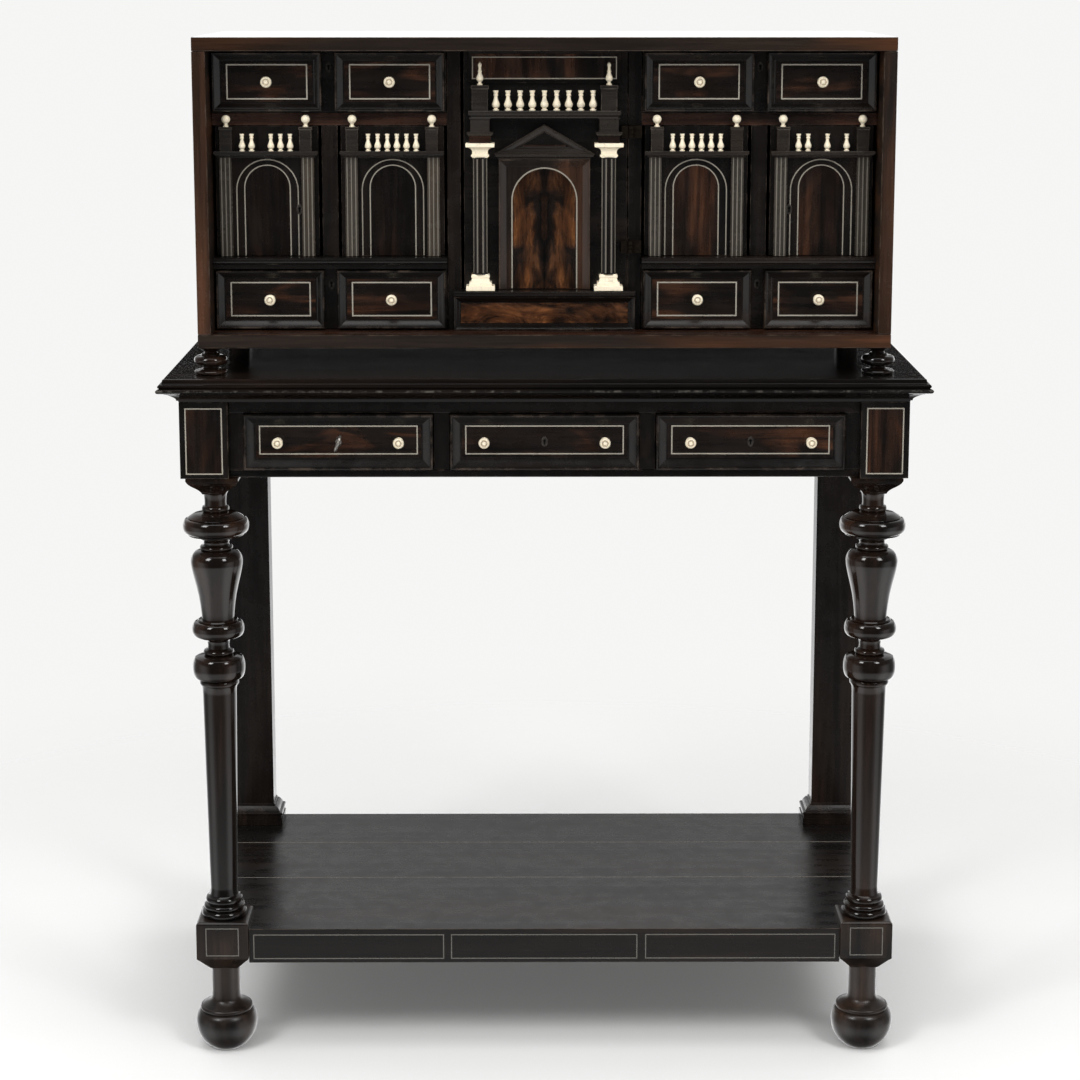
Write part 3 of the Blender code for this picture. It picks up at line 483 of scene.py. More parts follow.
def boneFinish(name, tone, rough):
    # turned bone: creamy, with faint lengthwise pores, darker patches, and the marked faces dark brown
    finish, place, shader = startFinish(name)
    pores = addNoise(mapTo(place, (700, 700, 90)), 1, 3, 0.6)
    stain = addNoise(place, 160, 4, 0.6)
    color = addRamp(stain, ((0.28, *(0.7 * part for part in tone)), (0.42, *tone),
        (0.8, *(min(1, 1.06 * part) for part in tone))))
    color = addMix("MULTIPLY", 0.4, color, addRamp(pores, ((0.3, 0.72), (0.46, 1))))
    mark = addNode("Attribute", {}, attribute_name="dirt").outputs["Fac"]
    fill(shader, {"Base Color": addMix("MIX", mark, color, (0.115, 0.062, 0.03)),
        "Roughness": addRamp(stain, ((0.3, rough + 0.2), (0.6, rough))), "Subsurface Weight": 0.08,
        "Subsurface Radius": (0.002, 0.0014, 0.0008), "Normal": addBump(pores, 0.12, 0.0002)})
    return finish


def metalFinish(name, stops, rough):
    # worn metal with brown tarnish in the hollows of the noise
    finish, place, shader = startFinish(name)
    patch = addNoise(place, 240, 6, 0.66)
    fill(shader, {"Base Color": addRamp(patch, tones(stops)), "Metallic": 1,
        "Roughness": addRamp(patch, ((0.35, rough + 0.25), (0.65, rough))),
        "Normal": addBump(patch, 0.2, 0.0002)})
    return finish


def pitFinish(name):
    # painted shade: a near-black finish for the inside of a keyhole
    finish, place, shader = startFinish(name)
    shadeSpeckle = addNoise(place, 900, 3, 0.6)
    fill(shader, {"Base Color": addRamp(shadeSpeckle, tones(((0.4, 1, 1, 1), (0.8, 6, 5, 4)))), "Roughness": 0.9,
        "Specular IOR Level": 0.1})
    return finish


ebonyX = woodFinish("ebonyLengthwise", "x", ebonyLook)
ebonyY = woodFinish("ebonyFrontToBack", "y", friezeLook, (3, 0, 1))
ebonyZ = woodFinish("ebonyUpright", "z", ebonyLook, (0, 2, 5))
turned = woodFinish("turnedEbony", "z", turnedLook, (4, 1, 2))
footWood = woodFinish("wornFeet", "z", footLook, (4, 1, 2))
gableWood = woodFinish("pedimentWood", "x", gableLook, (3, 0, 2))
trimWood = woodFinish("ledgeWood", "x", trimLook, (1, 0, 5))
dullWood = woodFinish("caseDull", "x", dullLook, (1.4, 0, 3))
lidWood = woodFinish("caseLid", "x", lidLook, (1.4, 0, 3))
caseY = woodFinish("caseFrontToBack", "y", sideLook, (0.6, 4, 2))
caseZ = woodFinish("caseUpright", "z", caseLook, (2, 0, 1.2))
rosewoodX = woodFinish("rosewoodLengthwise", "x", darkPanelLook, (0.7, 0, 0.2))
rosewoodZ = woodFinish("rosewoodUpright", "z", rosewoodLook, (5, 1, 0.4))
topWood = woodFinish("standTopWood", "x", topLook, (1, 2, 0))
shelfWood = woodFinish("shelfWood", "x", shelfLook, (0, 1, 3))
doorPanel = woodFinish("doorPanelUpright", "z", doorPanelLook, (2.2, 0, 0.9))
warmPanel = woodFinish("warmPanelUpright", "z", warmPanelLook, (0.6, 0, 1.7))
pilasterWood = woodFinish("pilasterGround", "z", pilasterLook, (1, 0, 4))
redRail = woodFinish("redBrownRail", "x", redRailLook, (2, 1, 7))
figured = woodFinish("figuredArch", "z", figuredLook, (0.3, 0, 0.8), bookmatch=True)
burl = woodFinish("burlPlinth", "x", burlLook, (0.5, 0, 0.1))
drawerOak = woodFinish("drawerLining", "y", oakLook)
bone = boneFinish("turnedBone", (0.8, 0.71, 0.54), 0.34)
stringing = boneFinish("boneStringing", (0.3, 0.274, 0.226), 0.42)
archBone = boneFinish("archStringing", (0.235, 0.212, 0.172), 0.42)
reeding = boneFinish("greyReeding", (0.126, 0.111, 0.089), 0.45)
dimLine = boneFinish("dimStringing", (0.112, 0.105, 0.092), 0.45)
glueLine = boneFinish("shelfGlue", (0.168, 0.154, 0.134), 0.45)
steel = metalFinish("keySteel", ((0.3, 140, 120, 100), (0.52, 420, 400, 370), (0.8, 580, 560, 520)), 0.3)
iron = metalFinish("lockIron", ((0.3, 30, 26, 22), (0.52, 100, 90, 80), (0.8, 220, 200, 180)), 0.38)
hingeMetal = metalFinish("hingeBrown", ((0.3, 10, 8, 7), (0.55, 20, 15, 11), (0.8, 60, 42, 28)), 0.46)
pit = pitFinish("keyholeDark")
print("finishes made")


# stand top, frieze and corner blocks

standTop = dict(overhang=0.0225, backOverhang=0.005, nose=(0.495, 0.565))
topEdge = pairs(percent, percent, 0, 0, 5, 1, 6, 9, 13, 11, 15, 13, 20, 20, 26, 31, 32, 44, 37, 55, 37.5, 62,
    41, 64, 41.5, 82, 43, 90, 46, 96, 50, 99, 54, 100, 58, 97, 61, 91, 63, 84, 64, 83, 66, 87, 69, 90, 73, 90,
    77, 87, 80, 80, 81, 73, 82, 72, 86, 71.5, 86.5, 69, 95.5, 68.5, 98, 66.5, 100, 62)


def makeStandTop(overhang, backOverhang, nose):
    low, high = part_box("stand_top")
    tall = high.z - low.z
    levels = []
    for rise, reach in topEdge:
        inset = overhang * (1 - reach)
        levels.append((low.z + tall * rise, (low.x + inset, high.x - inset),
            (low.y + inset, high.y - min(inset, backOverhang))))
    top = stackPiece("standTop", levels)
    markFaces(top, "wear", lambda face: float(nose[0] < (face.center.z - low.z) / tall < nose[1]))
    dress(top, topWood, "ebony", "stand_top")


# node, finish and rounding of the edges, with a star where there is a left and a right one
plainBoards = (("frieze_rail_upper", ebonyX, 0.0008), ("frieze_bottom_board", ebonyX, 0.0008),
    ("frieze_back", ebonyX, 0.0008), ("frieze_side_*", ebonyY, 0.0008), ("drawer_divider_*", ebonyY, 0.0006),
    ("rear_foot_*", ebonyZ, 0.0015), ("cabinet_foot_rear_*", ebonyZ, 0.0015), ("cabinet_top", lidWood, 0.001),
    ("cabinet_bottom", dullWood, 0.001), ("door_post_*", ebonyZ, 0.0006))


def makePlainBoards():
    for stem, finish, edge in plainBoards:
        for word, side in sides if "*" in stem else sides[:1]:
            node = stem.replace("*", word)
            dress(addBoard(camel(node), *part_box(node), edge), finish, "ebony", node)


cornerBlock = dict(width=0.0545, lineIn=0.0064, lineFoot=0.005, lineTop=0.0068, line=0.0014, stripIn=0.002,
    stripBack=0.01, stripDeep=0.03, stripFoot=0.009, stripTop=0.0142)


def makeCornerBlock(word, side, width, lineIn, lineFoot, lineTop, line, stripIn, stripBack, stripDeep,
        stripFoot, stripTop):
    node = "corner_block_" + word
    low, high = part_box(node)
    outer, strip = (high.x, low.x) if side > 0 else (low.x, high.x)
    inner = outer - side * width
    x = sorted((inner, outer))
    block = addBoard("block", (x[0], low.y, low.z), (x[1], high.y, high.z), edge=0.0008)
    stripX = sorted((strip, inner + side * stripIn))
    upright = addBoard("strip", (stripX[0], low.y + stripBack, low.z + stripFoot),
        (stripX[1], low.y + stripBack + stripDeep, high.z - stripTop), edge=0.0006)
    unite("cornerBlock_" + word, [block, upright], ebonyZ, "ebony", node)
    fieldX = (x[0] + lineIn, x[1] - lineIn)
    fieldZ = (low.z + lineFoot, high.z - lineTop)
    field = addBoard("cornerField_" + word, (fieldX[0], low.y - veneer, fieldZ[0]),
        (fieldX[1], low.y + 0.001, fieldZ[1]), thin)
    dress(field, warmPanel, "rosewood")
    dress(lineFrame("cornerLine_" + word, fieldX, fieldZ, low.y - thin, line), stringing, "bone")


makeStandTop(**standTop)
makePlainBoards()
for word, side in sides:
    makeCornerBlock(word, side, **cornerBlock)
print("stand top, frieze and plain boards made")


# turned legs, rear legs, shelf and feet

frontLeg = dict(capHalf=0.0296, turns=48)
legCap = pairs(mm, percent, 0, 100, 2.8, 100, 3.4, 98.5, 5.6, 94.5, 8, 87.5, 10.5, 77.5, 13, 66, 15.5, 56,
    18, 48.5, 20.6, 44)
legTurning = pairs(mm, mm, 668, 12, 665.2, 15, 664, 14.6, 662.4, 13.4, 659, 12.7, 655, 12.4, 652.1, 12.3,
    649, 12.6, *bead(648.2, 641.8, 13.6, 15.7), 641.2, 17.2, 640.4, 22.6, 639.2, 25.4, 637.4, 28.4, 636, 30.8,
    635, 31.8, 634.6, 30.6, 634.2, 31.8, *bead(633.8, 617.2, 33.2, 37.6, 12), 616.8, 31.6, 616, 32.2,
    615, 31.8, 614.2, 30, 612.8, 26.2, 610.6, 20, 608.8, 16.2, 606.6, 14.6, 604.6, 14.4, 603.2, 15.2,
    *bead(602.6, 597.4, 16.4, 18.9), 597, 20.4, 595.2, 24.4, 592.4, 27.2, 588.8, 29, 584.6, 29.7, 580, 29.4,
    574, 28.4, 566, 26.6, 556, 24.1, 545, 21.7, 534, 20, 524, 18.9, 518, 18.5, 516.4, 18.5, 516, 22,
    514.8, 23.2, 514, 22.4, *bead(513.6, 496.2, 25, 29.8, 12), 495.7, 23.8, 494.4, 19.6, 493, 15.2,
    490.5, 12.8, 486, 12.2, 482, 12.6, *bead(480.6, 474.4, 14.6, 17.6), 473.8, 20, 472.8, 24,
    *bead(471.8, 447.2, 26, 30, 14), 446.6, 24.6, 445.8, 22.2, *bead(445.2, 438.6, 20.8, 22.5), 438, 20.6,
    435, 19.7, 429, 19.4, 400, 19, 340, 18.1, 280, 17.1, 220, 16.2, 196, 15.7, 190, 15.8, 186.4, 16.6,
    185.2, 17.8, 184.8, 18.8, *bead(184.4, 177.2, 19.4, 21.5), 176.8, 19.8, 176.2, 20.4,
    *bead(175.6, 170, 21.6, 23.8), 169.6, 22, *bead(169, 161, 23.8, 26.4))


def makeFrontLeg(word, capHalf, turns):
    node = "front_leg_" + word
    low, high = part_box(node)
    middle = (low + high) / 2
    cap = squarePiece("cap", middle, capHalf, capHalf, [(high.z - drop, share) for drop, share in legCap])
    shaft = turnPiece("shaft", middle, legTurning, turns)
    unite("frontLeg_" + word, [shaft, cap], turned, "ebony", node)


rearLeg = dict(plinth=0.026, proud=0.012)
rearPlinth = pairs(percent, percent, 0, 100, 30, 100, 31, 90, 52, 90, 53, 98, 60, 100, 66, 94, 67, 70, 76, 62,
    84, 44, 90, 30, 91, 14, 98, 10, 100, 0)


def makeRearLeg(word, side, plinth, proud):
    node = "rear_leg_" + word
    low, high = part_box(node)
    outer, inner = (high.x, low.x + proud) if side > 0 else (low.x, high.x - proud)
    levels = []
    for rise, share in rearPlinth:
        grow = proud * share
        levels.append((low.z + plinth * rise, sorted((inner - side * grow, outer)),
            (low.y + proud - grow, high.y)))
    levels.append((high.z, *levels[-1][1:]))
    dress(stackPiece("rearLeg_" + word, levels), ebonyZ, "ebony", node)


shelf = dict(joints=(-0.023, 0.105), notchX=0.0603, notchY=0.0563, seam=0.0012, glue=0.0022, glueIn=0.002,
    edge=0.0005, panels=((-0.338, -0.1165), (-0.1085, 0.108), (0.117, 0.338)), lineZ=(0.115, 0.145))


def makeShelf(joints, notchX, notchY, seam, glue, glueIn, edge, panels, lineZ):
    low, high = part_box("shelf")
    first, second = joints
    # the front board is cut round the two foot blocks
    front = addBlank("shelfFront", (low.x + notchX, low.y, low.z), (high.x - notchX, low.y + notchY, high.z))
    pick(front, "FACE", lambda middle, normal: normal.y > 0.9)
    pull(y=first - seam - low.y - notchY)
    closeEdit()
    for side in (-1, 1):
        pick(front, "FACE", lambda middle, normal: normal.x * side > 0.9 and middle.y > low.y + notchY)
        pull(x=side * notchX)
        closeEdit()
    planks = [roundEdges(front, edge),
        addBoard("plank", (low.x, first, low.z), (high.x, second - seam, high.z), edge),
        addBoard("plank", (low.x, second, low.z), high, edge)]
    unite("shelfBoards", planks, shelfWood, "ebony", "shelf")
    lines = [lineFrame("line", x, lineZ, low.y + thin) for x in panels]
    unite("shelfLines", lines, dimLine, "bone")
    strips = [addBoard("glue", (low.x + glueIn, joint - glue / 2, high.z - glueIn),
        (high.x - glueIn, joint + glue / 2, high.z - thin), thin) for joint in joints]
    unite("shelfJoints", strips, glueLine, "ebony")


frontFoot = dict(half=0.03, lineHalf=0.01925, lineZ=(0.12, 0.154))
footBlock = pairs(mm, percent, 99, 48, 100, 53, 113, 90, 114.8, 96.5, 116.2, 100, 157, 100, 158.6, 98.5,
    159.8, 94.5, 160.5, 88)
footTurning = pairs(mm, mm, 106, 16.4, 102, 16.4, 90, 16.3, 70, 16.3, 62, 16.5, 59.4, 17, 57.6, 17.9, 56, 19.4,
    54.5, 21.4, 53.3, 23.6, 52.3, 25.6, 51.5, 27, 51, 27.8, *bead(50.8, 45.8, 28.2, 30.6, 6), 45.4, 28.8,
    44.9, 29, 44.5, 30.4, 43.2, 32, 40.8, 33.6, 37.2, 34.8, 32.8, 35.5, 27.6, 35.5, 22.2, 34.7, 16.8, 33,
    11.6, 30.3, 7, 27, 3.6, 23.8, 1.2, 20.6, 0, 18.6)


def makeFrontFoot(word, half, lineHalf, lineZ):
    node = "front_foot_" + word
    low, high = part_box(node)
    middle = (low + high) / 2
    block = squarePiece("footBlock", middle, half, half, footBlock)
    bun = turnPiece("bun", middle, footTurning, turns=48)
    unite("frontFoot_" + word, [block, bun], footWood, "ebony", node)
    lineX = (middle.x - lineHalf, middle.x + lineHalf)
    dress(lineFrame("footLine_" + word, lineX, lineZ, middle.y - half + thin), dimLine, "bone")


for word, side in sides:
    makeFrontLeg(word, **frontLeg)
for word, side in sides:
    makeRearLeg(word, side, **rearLeg)
makeShelf(**shelf)
for word, side in sides:
    makeFrontFoot(word, **frontFoot)
print("legs, shelf and feet made")


# mouldings, knobs and keyholes shared by the drawers

frameShape = pairs(percent, mm, 3, 0.6, 4, 0.5, 6, 0.2, 5, -0.2, 4, -0.6, 2, -0.9, 0.5, -0.5, 7, -0.4, 9, -0.6,
    11, -0.8, 11, -0.9, 10, -0.8, 8, -0.6, 6, -0.3, 1, -0.6, 12.5, 0)
frameRise = 0.0013
frameSink = -sum(rise for share, rise in frameShape)


def mouldedPanel(name, fieldName, x, z, top, back, rim):
    # bead, quirk, broad ogee and a small step over the width of the rim, round a veneered field
    steps = [(share * rim, rise) for share, rise in frameShape]
    moulding = workFront(addBlank(name, (x[0], top, z[0]), (x[1], back, z[1])), steps)
    fieldY = top + frameSink
    field = addBoard(fieldName, (x[0] + rim, fieldY - veneer, z[0] + rim),
        (x[1] - rim, fieldY + core, z[1] - rim), thin)
    return moulding, field, fieldY


def lineRound(name, x, z, halfX, halfZ, y, width):
    return lineFrame(name, (x - halfX, x + halfX), (z - halfZ, z + halfZ), y, width)


knobTurning = pairs(mm, mm, 0, 5, 0.8, 5, 1.4, 4.4, 2.2, 2.8, 3.6, 2.4, 5, 2.7, 5.8, 3.8, 7, 5.2, 8.6, 6,
    10, 6.2, 11.4, 6, 12.4, 5.4, 13, 4.6, 13.1, 4, 12.1, 3.6, 11.9, 3, 12.1, 2.5, 13.1, 2.2, 13.7, 1.6,
    13.9, 0.8, 13.9, 0.3)
knob = dict(groove=(0.0023, 0.0039), above=0.0115, dirt=0.42, turns=28)


def makeKnob(name, place, body, *nodes):
    piece = turnPiece(name, (0, 0), knobTurning, knob["turns"])
    inner, outer = knob["groove"]
    # the groove in the head is darker
    markFaces(piece, "dirt", lambda face: knob["dirt"] * (inner < face.center.to_2d().length < outer
        and face.center.z > knob["above"]))
    dress(layDown(piece, place), bone, "bone", *nodes, body=body)


keyhole = dict(plateWide=0.0034, plateTall=0.0058, thick=0.0005, hole=0.0015, holeUp=0.0012, slot=0.0042,
    slotUp=0.001)
platePlan = pairs(percent, percent, 0, 100, 60, 100, 90, 93, 100, 84, 70, 62)
holePlan = pairs(percent, percent, 0, 70, 60, 100, 90, 96)


def makeKeyhole(name, x, y, z, body):
    # an oval lined plate, with the hole and slot as near-black pieces that paint the shade inside them
    def oval(part, plan, turns, wide, tall, place):
        piece = turnPiece(name + part, (0, 0), plan, turns)
        piece.scale = (wide, tall, keyhole["thick"])
        settle()
        return layDown(piece, place)

    hole, up, slitHalf = keyhole["hole"], z + keyhole["holeUp"], keyhole["hole"] * 0.55
    plate = oval("_plate", platePlan, 28, keyhole["plateWide"], keyhole["plateTall"], (x, y, z))
    dress(plate, iron, "iron", body=body)
    # painted shade: a near-black disc and slit stand for the dark inside of the keyhole
    pieces = [oval("_hole", holePlan, 16, hole, hole, (x, y - thin, up))]
    slitLow = (x - slitHalf, y - keyhole["thick"] * 0.9 - thin, z + keyhole["slotUp"] - keyhole["slot"])
    pieces.append(addBoard("slit", slitLow, (x + slitHalf, y, up), thin))
    unite(name + "_hole", pieces, pit, "iron", body=body)


boxShape = dict(edge=0.0007, lower=0.001, backLow=0.004, groove=0.002, floorUp=0.0012, floorEdge=0.0004)


def makeBox(name, body, low, high, wall, floor):
    # four walls round a floor board let into them
    edge, lower, groove = boxShape["edge"], boxShape["lower"], boxShape["groove"]
    (left, front, foot), (right, back, top) = low, high
    inside = (left + wall - thin, right - wall + thin)
    backTop = top - boxShape["backLow"]
    walls = [addBoard("side", low, (left + wall, back, top), edge),
        addBoard("side", (right - wall, front, foot), high, edge),
        addBoard("back", (inside[0], back - wall, foot + lower), (inside[1], back, backTop), edge),
        addBoard("frontWall", (inside[0], front, foot + lower), (inside[1], front + wall, top - lower), edge),
        addBoard("floor", (left + wall - groove, front + lower, foot + boxShape["floorUp"]),
            (right - wall + groove, back - lower, foot + floor), boxShape["floorEdge"])]
    unite(name, walls, drawerOak, "ebony", body=body)


# stand drawers

standDrawer = dict(front=0.014, wall=0.008, floor=0.005, lower=0.008, lineX=0.089, lineUp=0.002, lineZ=0.0165,
    line=0.0014, knobX=0.0677, rim=0.0135)


def makeStandDrawer(word, front, wall, floor, lower, lineX, lineUp, lineZ, line, knobX, rim):
    node = "stand_drawer_" + word
    low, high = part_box(node)
    middle = (low + high) / 2
    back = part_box("frieze_rail_upper")[0].y + front
    moulding, field, fieldY = mouldedPanel("standFront_" + word, "standField_" + word, (low.x, high.x),
        (low.z, high.z), low.y + frameRise, back, rim)
    dress(moulding, ebonyX, "ebony", node, body=node)
    dress(field, rosewoodX, "rosewood", body=node)
    dress(lineRound("standLine_" + word, middle.x, middle.z + lineUp, lineX, lineZ, fieldY - thin, line),
        stringing, "bone", body=node)
    for count, step in ((1, -1), (2, 1)):
        ending = "%s_%d" % (word, count)
        makeKnob("standKnob_" + ending, (middle.x + step * knobX, fieldY - veneer, middle.z), node,
            "stand_knob_" + ending)
    makeKeyhole("standKeyhole_" + word, middle.x, fieldY - veneer, middle.z, node)
    makeBox("standBox_" + word, node, (low.x, back - lap, low.z), (high.x, high.y, high.z - lower), wall, floor)


keyShape = dict(bow=0.006, tall=1.3, wire=0.0019, turn=20, shank=0.0019, collar=0.0033)


def makeKey(bow, tall, wire, turn, shank, collar):
    low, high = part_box("drawer_key")
    middle = (low + high) / 2
    bowY = low.y + (high.z - low.z) / 2
    length = high.y - bowY - bow
    profile = [(0, shank * 0.9), (0.0004, shank)]
    rings = ((0.55, shank), (0.58, collar), (0.66, collar), (0.7, shank), (0.82, shank), (0.85, collar * 0.9),
        (0.93, collar * 0.9), (1, shank * 1.1))
    profile += [(length * share, radius) for share, radius in rings]
    profile.append((length + 0.0012, shank))
    stem = layDown(turnPiece("shank", (0, 0), profile, turns=20), (middle.x, high.y, middle.z))
    # the bow is a ring cut from a round bar, drawn out to an oval
    ring = startPiece("ring", bpy.ops.mesh.primitive_circle_add, vertices=12, radius=wire, fill_type="NOTHING",
        location=(bow, 0, 0), rotation=(math.radians(90), 0, 0))
    editAll("EDGE")
    bpy.ops.mesh.spin(steps=32, angle=2 * math.pi, center=(0, 0, 0), axis=(0, 0, 1))
    closeEdit()
    faceOut(ring)
    ring.scale = (1, tall, 1)
    settle()
    # the ring's plane holds the shank's line, and is turned a little about it
    ring.rotation_euler = (math.radians(90), 0, math.radians(90))
    settle()
    ring.rotation_euler = (0, math.radians(turn), 0)
    ring.location = (middle.x, bowY, middle.z)
    settle()
    unite("drawerKey", [stem, ring], steel, "iron", "drawer_key", body="key")


for word in ("left", "centre", "right"):
    makeStandDrawer(word, **standDrawer)
makeKey(**keyShape)
print("stand drawers made")


# cabinet case

caseShape = dict(lip=0.004, edge=0.001, lining=0.0005, liningIn=0.003, nose=0.007, planks=3)
bayNose = pairs(percent, percent, 0, 20, 30, 22, 33, 45, 40, 52, 48, 66, 54, 84, 56, 93, 62, 98, 74, 100,
    86, 98, 92, 93, 93, 80, 100, 78)


def makeCase(lip, edge, lining, liningIn, nose, planks):
    for word, side in sides:
        low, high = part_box("cabinet_side_" + word)
        dress(addBoard("caseLip_" + word, low, (high.x, low.y + lip, high.z), edge), caseZ, "ebony")
        board = addBoard("caseSide_" + word, (low.x, low.y + lip, low.z), high, edge=0.0005)
        dress(board, caseY, "rosewood", "cabinet_side_" + word)
        for node, finish in (("bay_upright_" + word, ebonyZ), ("bay_shelf_upper_" + word, redRail)):
            dress(addBoard(camel(node), *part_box(node), edge=0.0006), finish, "rosewood", node)
        node = "bay_shelf_lower_" + word
        dress(nosedPiece("bayShelfLower_" + word, bayNose, *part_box(node), nose, 0), ebonyX, "ebony", node)
    low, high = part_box("cabinet_back")
    wide = (high.x - low.x) / planks
    boards = [addBoard("plank", (low.x + wide * count, low.y, low.z),
        (low.x + wide * (count + 1), high.y, high.z), edge=0.0012) for count in range(planks)]
    unite("caseBack", boards, caseZ, "rosewood", "cabinet_back")
    low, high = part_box("cabinet_bottom")
    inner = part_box("cabinet_side_right")[0].x - sink
    floor = addBoard("caseFloorLining", (-inner, low.y + liningIn, high.z - veneer),
        (inner, faceY - sink, high.z + lining), thin)
    dress(floor, redRail, "rosewood")


cabinetFoot = pairs(mm, mm, 30.6, 14, 30, 14.2, 28.6, 12, 26.8, 8.8, 25.2, 7.2, 24.2, 7, 23.6, 7.8, 23.4, 9.8,
    22.6, 10.6, 21.6, 10.4, 21.2, 11.2, *bead(20.8, 10.8, 14, 18.7, 10), 10.4, 11, 9.4, 9, 7.4, 8.6, 6.2, 9.8,
    5.6, 12.8, 5, 15, *bead(4.6, 0.6, 16.8, 18.5, 6), 0.3, 16)


def makeCabinetFoot(word):
    node = "cabinet_foot_front_" + word
    low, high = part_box(node)
    profile = [(low.z + rise - sink, radius) for rise, radius in cabinetFoot]
    dress(turnPiece("cabinetFoot_" + word, (low + high) / 2, profile, turns=40), turned, "ebony", node)


makeCase(**caseShape)
for word, side in sides:
    makeCabinetFoot(word)
print("cabinet case made")


# cabinet drawers

cabinetDrawer = dict(front=0.012, proud=0.013, margin=0.0015, strip=0.0145, wall=0.006, floor=0.005,
    lower=0.008, lineX=0.045, lineZ=0.0195, line=0.0015, rim=0.0104, keyDown=0.018)


def makeCabinetDrawer(ending, front, proud, margin, strip, wall, floor, lower, lineX, lineZ, line, rim,
        keyDown):
    node = "drawer_" + ending
    low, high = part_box(node)
    board = addBoard("front", (low.x, faceY, low.z), (high.x, faceY + front, high.z), edge=0.0006)
    frames, fields, lines = [board], [], []
    width = (high.x - low.x - 2 * margin - strip) / 2
    frameZ = (low.z + margin, high.z - margin)
    for count in range(2):
        start = low.x + margin + count * (width + strip)
        moulding, field, fieldY = mouldedPanel("frame", "field", (start, start + width), frameZ,
            faceY - proud + frameRise, faceY + lap, rim)
        frames.append(moulding)
        fields.append(field)
        x, z = start + width / 2, sum(frameZ) / 2
        lines.append(lineRound("line", x, z, lineX, lineZ, fieldY - thin, line))
        makeKnob("knob_%s_%d" % (ending, count + 1), (x, fieldY - veneer, z), node)
    unite("drawerFront_" + ending, frames, ebonyX, "ebony", node, body=node)
    unite("drawerField_" + ending, fields, rosewoodX, "rosewood", body=node)
    unite("drawerLine_" + ending, lines, stringing, "bone", body=node)
    makeKeyhole("drawerKeyhole_" + ending, (low.x + high.x) / 2, faceY, high.z - keyDown, node)
    makeBox("drawerBox_" + ending, node, (low.x, faceY + front - lap, low.z), (high.x, high.y, high.z - lower),
        wall, floor)


for ending in ("top_left", "top_right", "bottom_left", "bottom_right"):
    makeCabinetDrawer(ending, **cabinetDrawer)
print("cabinet drawers made")


# arched doors

balusterTurning = pairs(percent, percent, 0, 86, 6, 86, 7, 60, 11, 50, 14, 62, 19, 92, 26, 106, 34, 104,
    42, 88, 52, 66, 62, 52, 72, 46, 73, 62, 77, 68, 80, 60, 82, 52, 88, 60, 94, 74, 100, 74)


def makeBalusters(places, y, foot, height, radius):
    # one turned baluster, then its copies along the ledge
    profile = [(foot + height * rise, radius * share) for rise, share in balusterTurning]
    first = turnPiece("baluster", (places[0], y), profile, turns=14)
    return [first] + [copyPiece(first, "baluster", x - places[0]) for x in places[1:]]


def cappedBlock(x, wide, y, foot, top, cap, over, edges):
    # an end block and the cap that lies on it
    low, high = (x - wide - over, y[0] - over, top - cap - cover), (x + wide + over, y[1], top)
    return [addBoard("block", (x - wide, y[0], foot), (x + wide, y[1], top - cap), edges[0]),
        addBoard("blockCap", low, high, edges[1])]


archedDoor = dict(half=0.058, leafIn=0.0004, thick=0.01, ledgeDrop=0.0275, ledge=0.0073, ledgeProud=0.016,
    pilasterX=0.0458, pilaster=0.014, pilasterProud=0.007, fillets=3, fillet=0.0014, filletProud=0.0007,
    block=0.0135, blockX=0.0443, ball=0.0049, neck=0.0034, outerArch=0.0343, innerArch=0.0254, archTop=0.0089,
    outerDrop=0.0027, pitch=0.0107, baluster=0.0192, balusterRadius=0.0035, keyX=0.0355, keyZ=0.052,
    topGap=0.0006, cap=0.003, capOver=0.0007, ballTurns=12)
doorLedge = pairs(percent, percent, 0, 52, 16, 56, 30, 68, 40, 80, 42, 86, 50, 87, 52, 96, 60, 99, 76, 100,
    90, 99, 100, 95)
ballNeck = pairs(mm, percent, -0.4, 66, 0.8, 62, 1.4, 42, 3, 40)
missingBalusters = {"door_left_outer": (2,), "door_right_outer": (2, 4)}


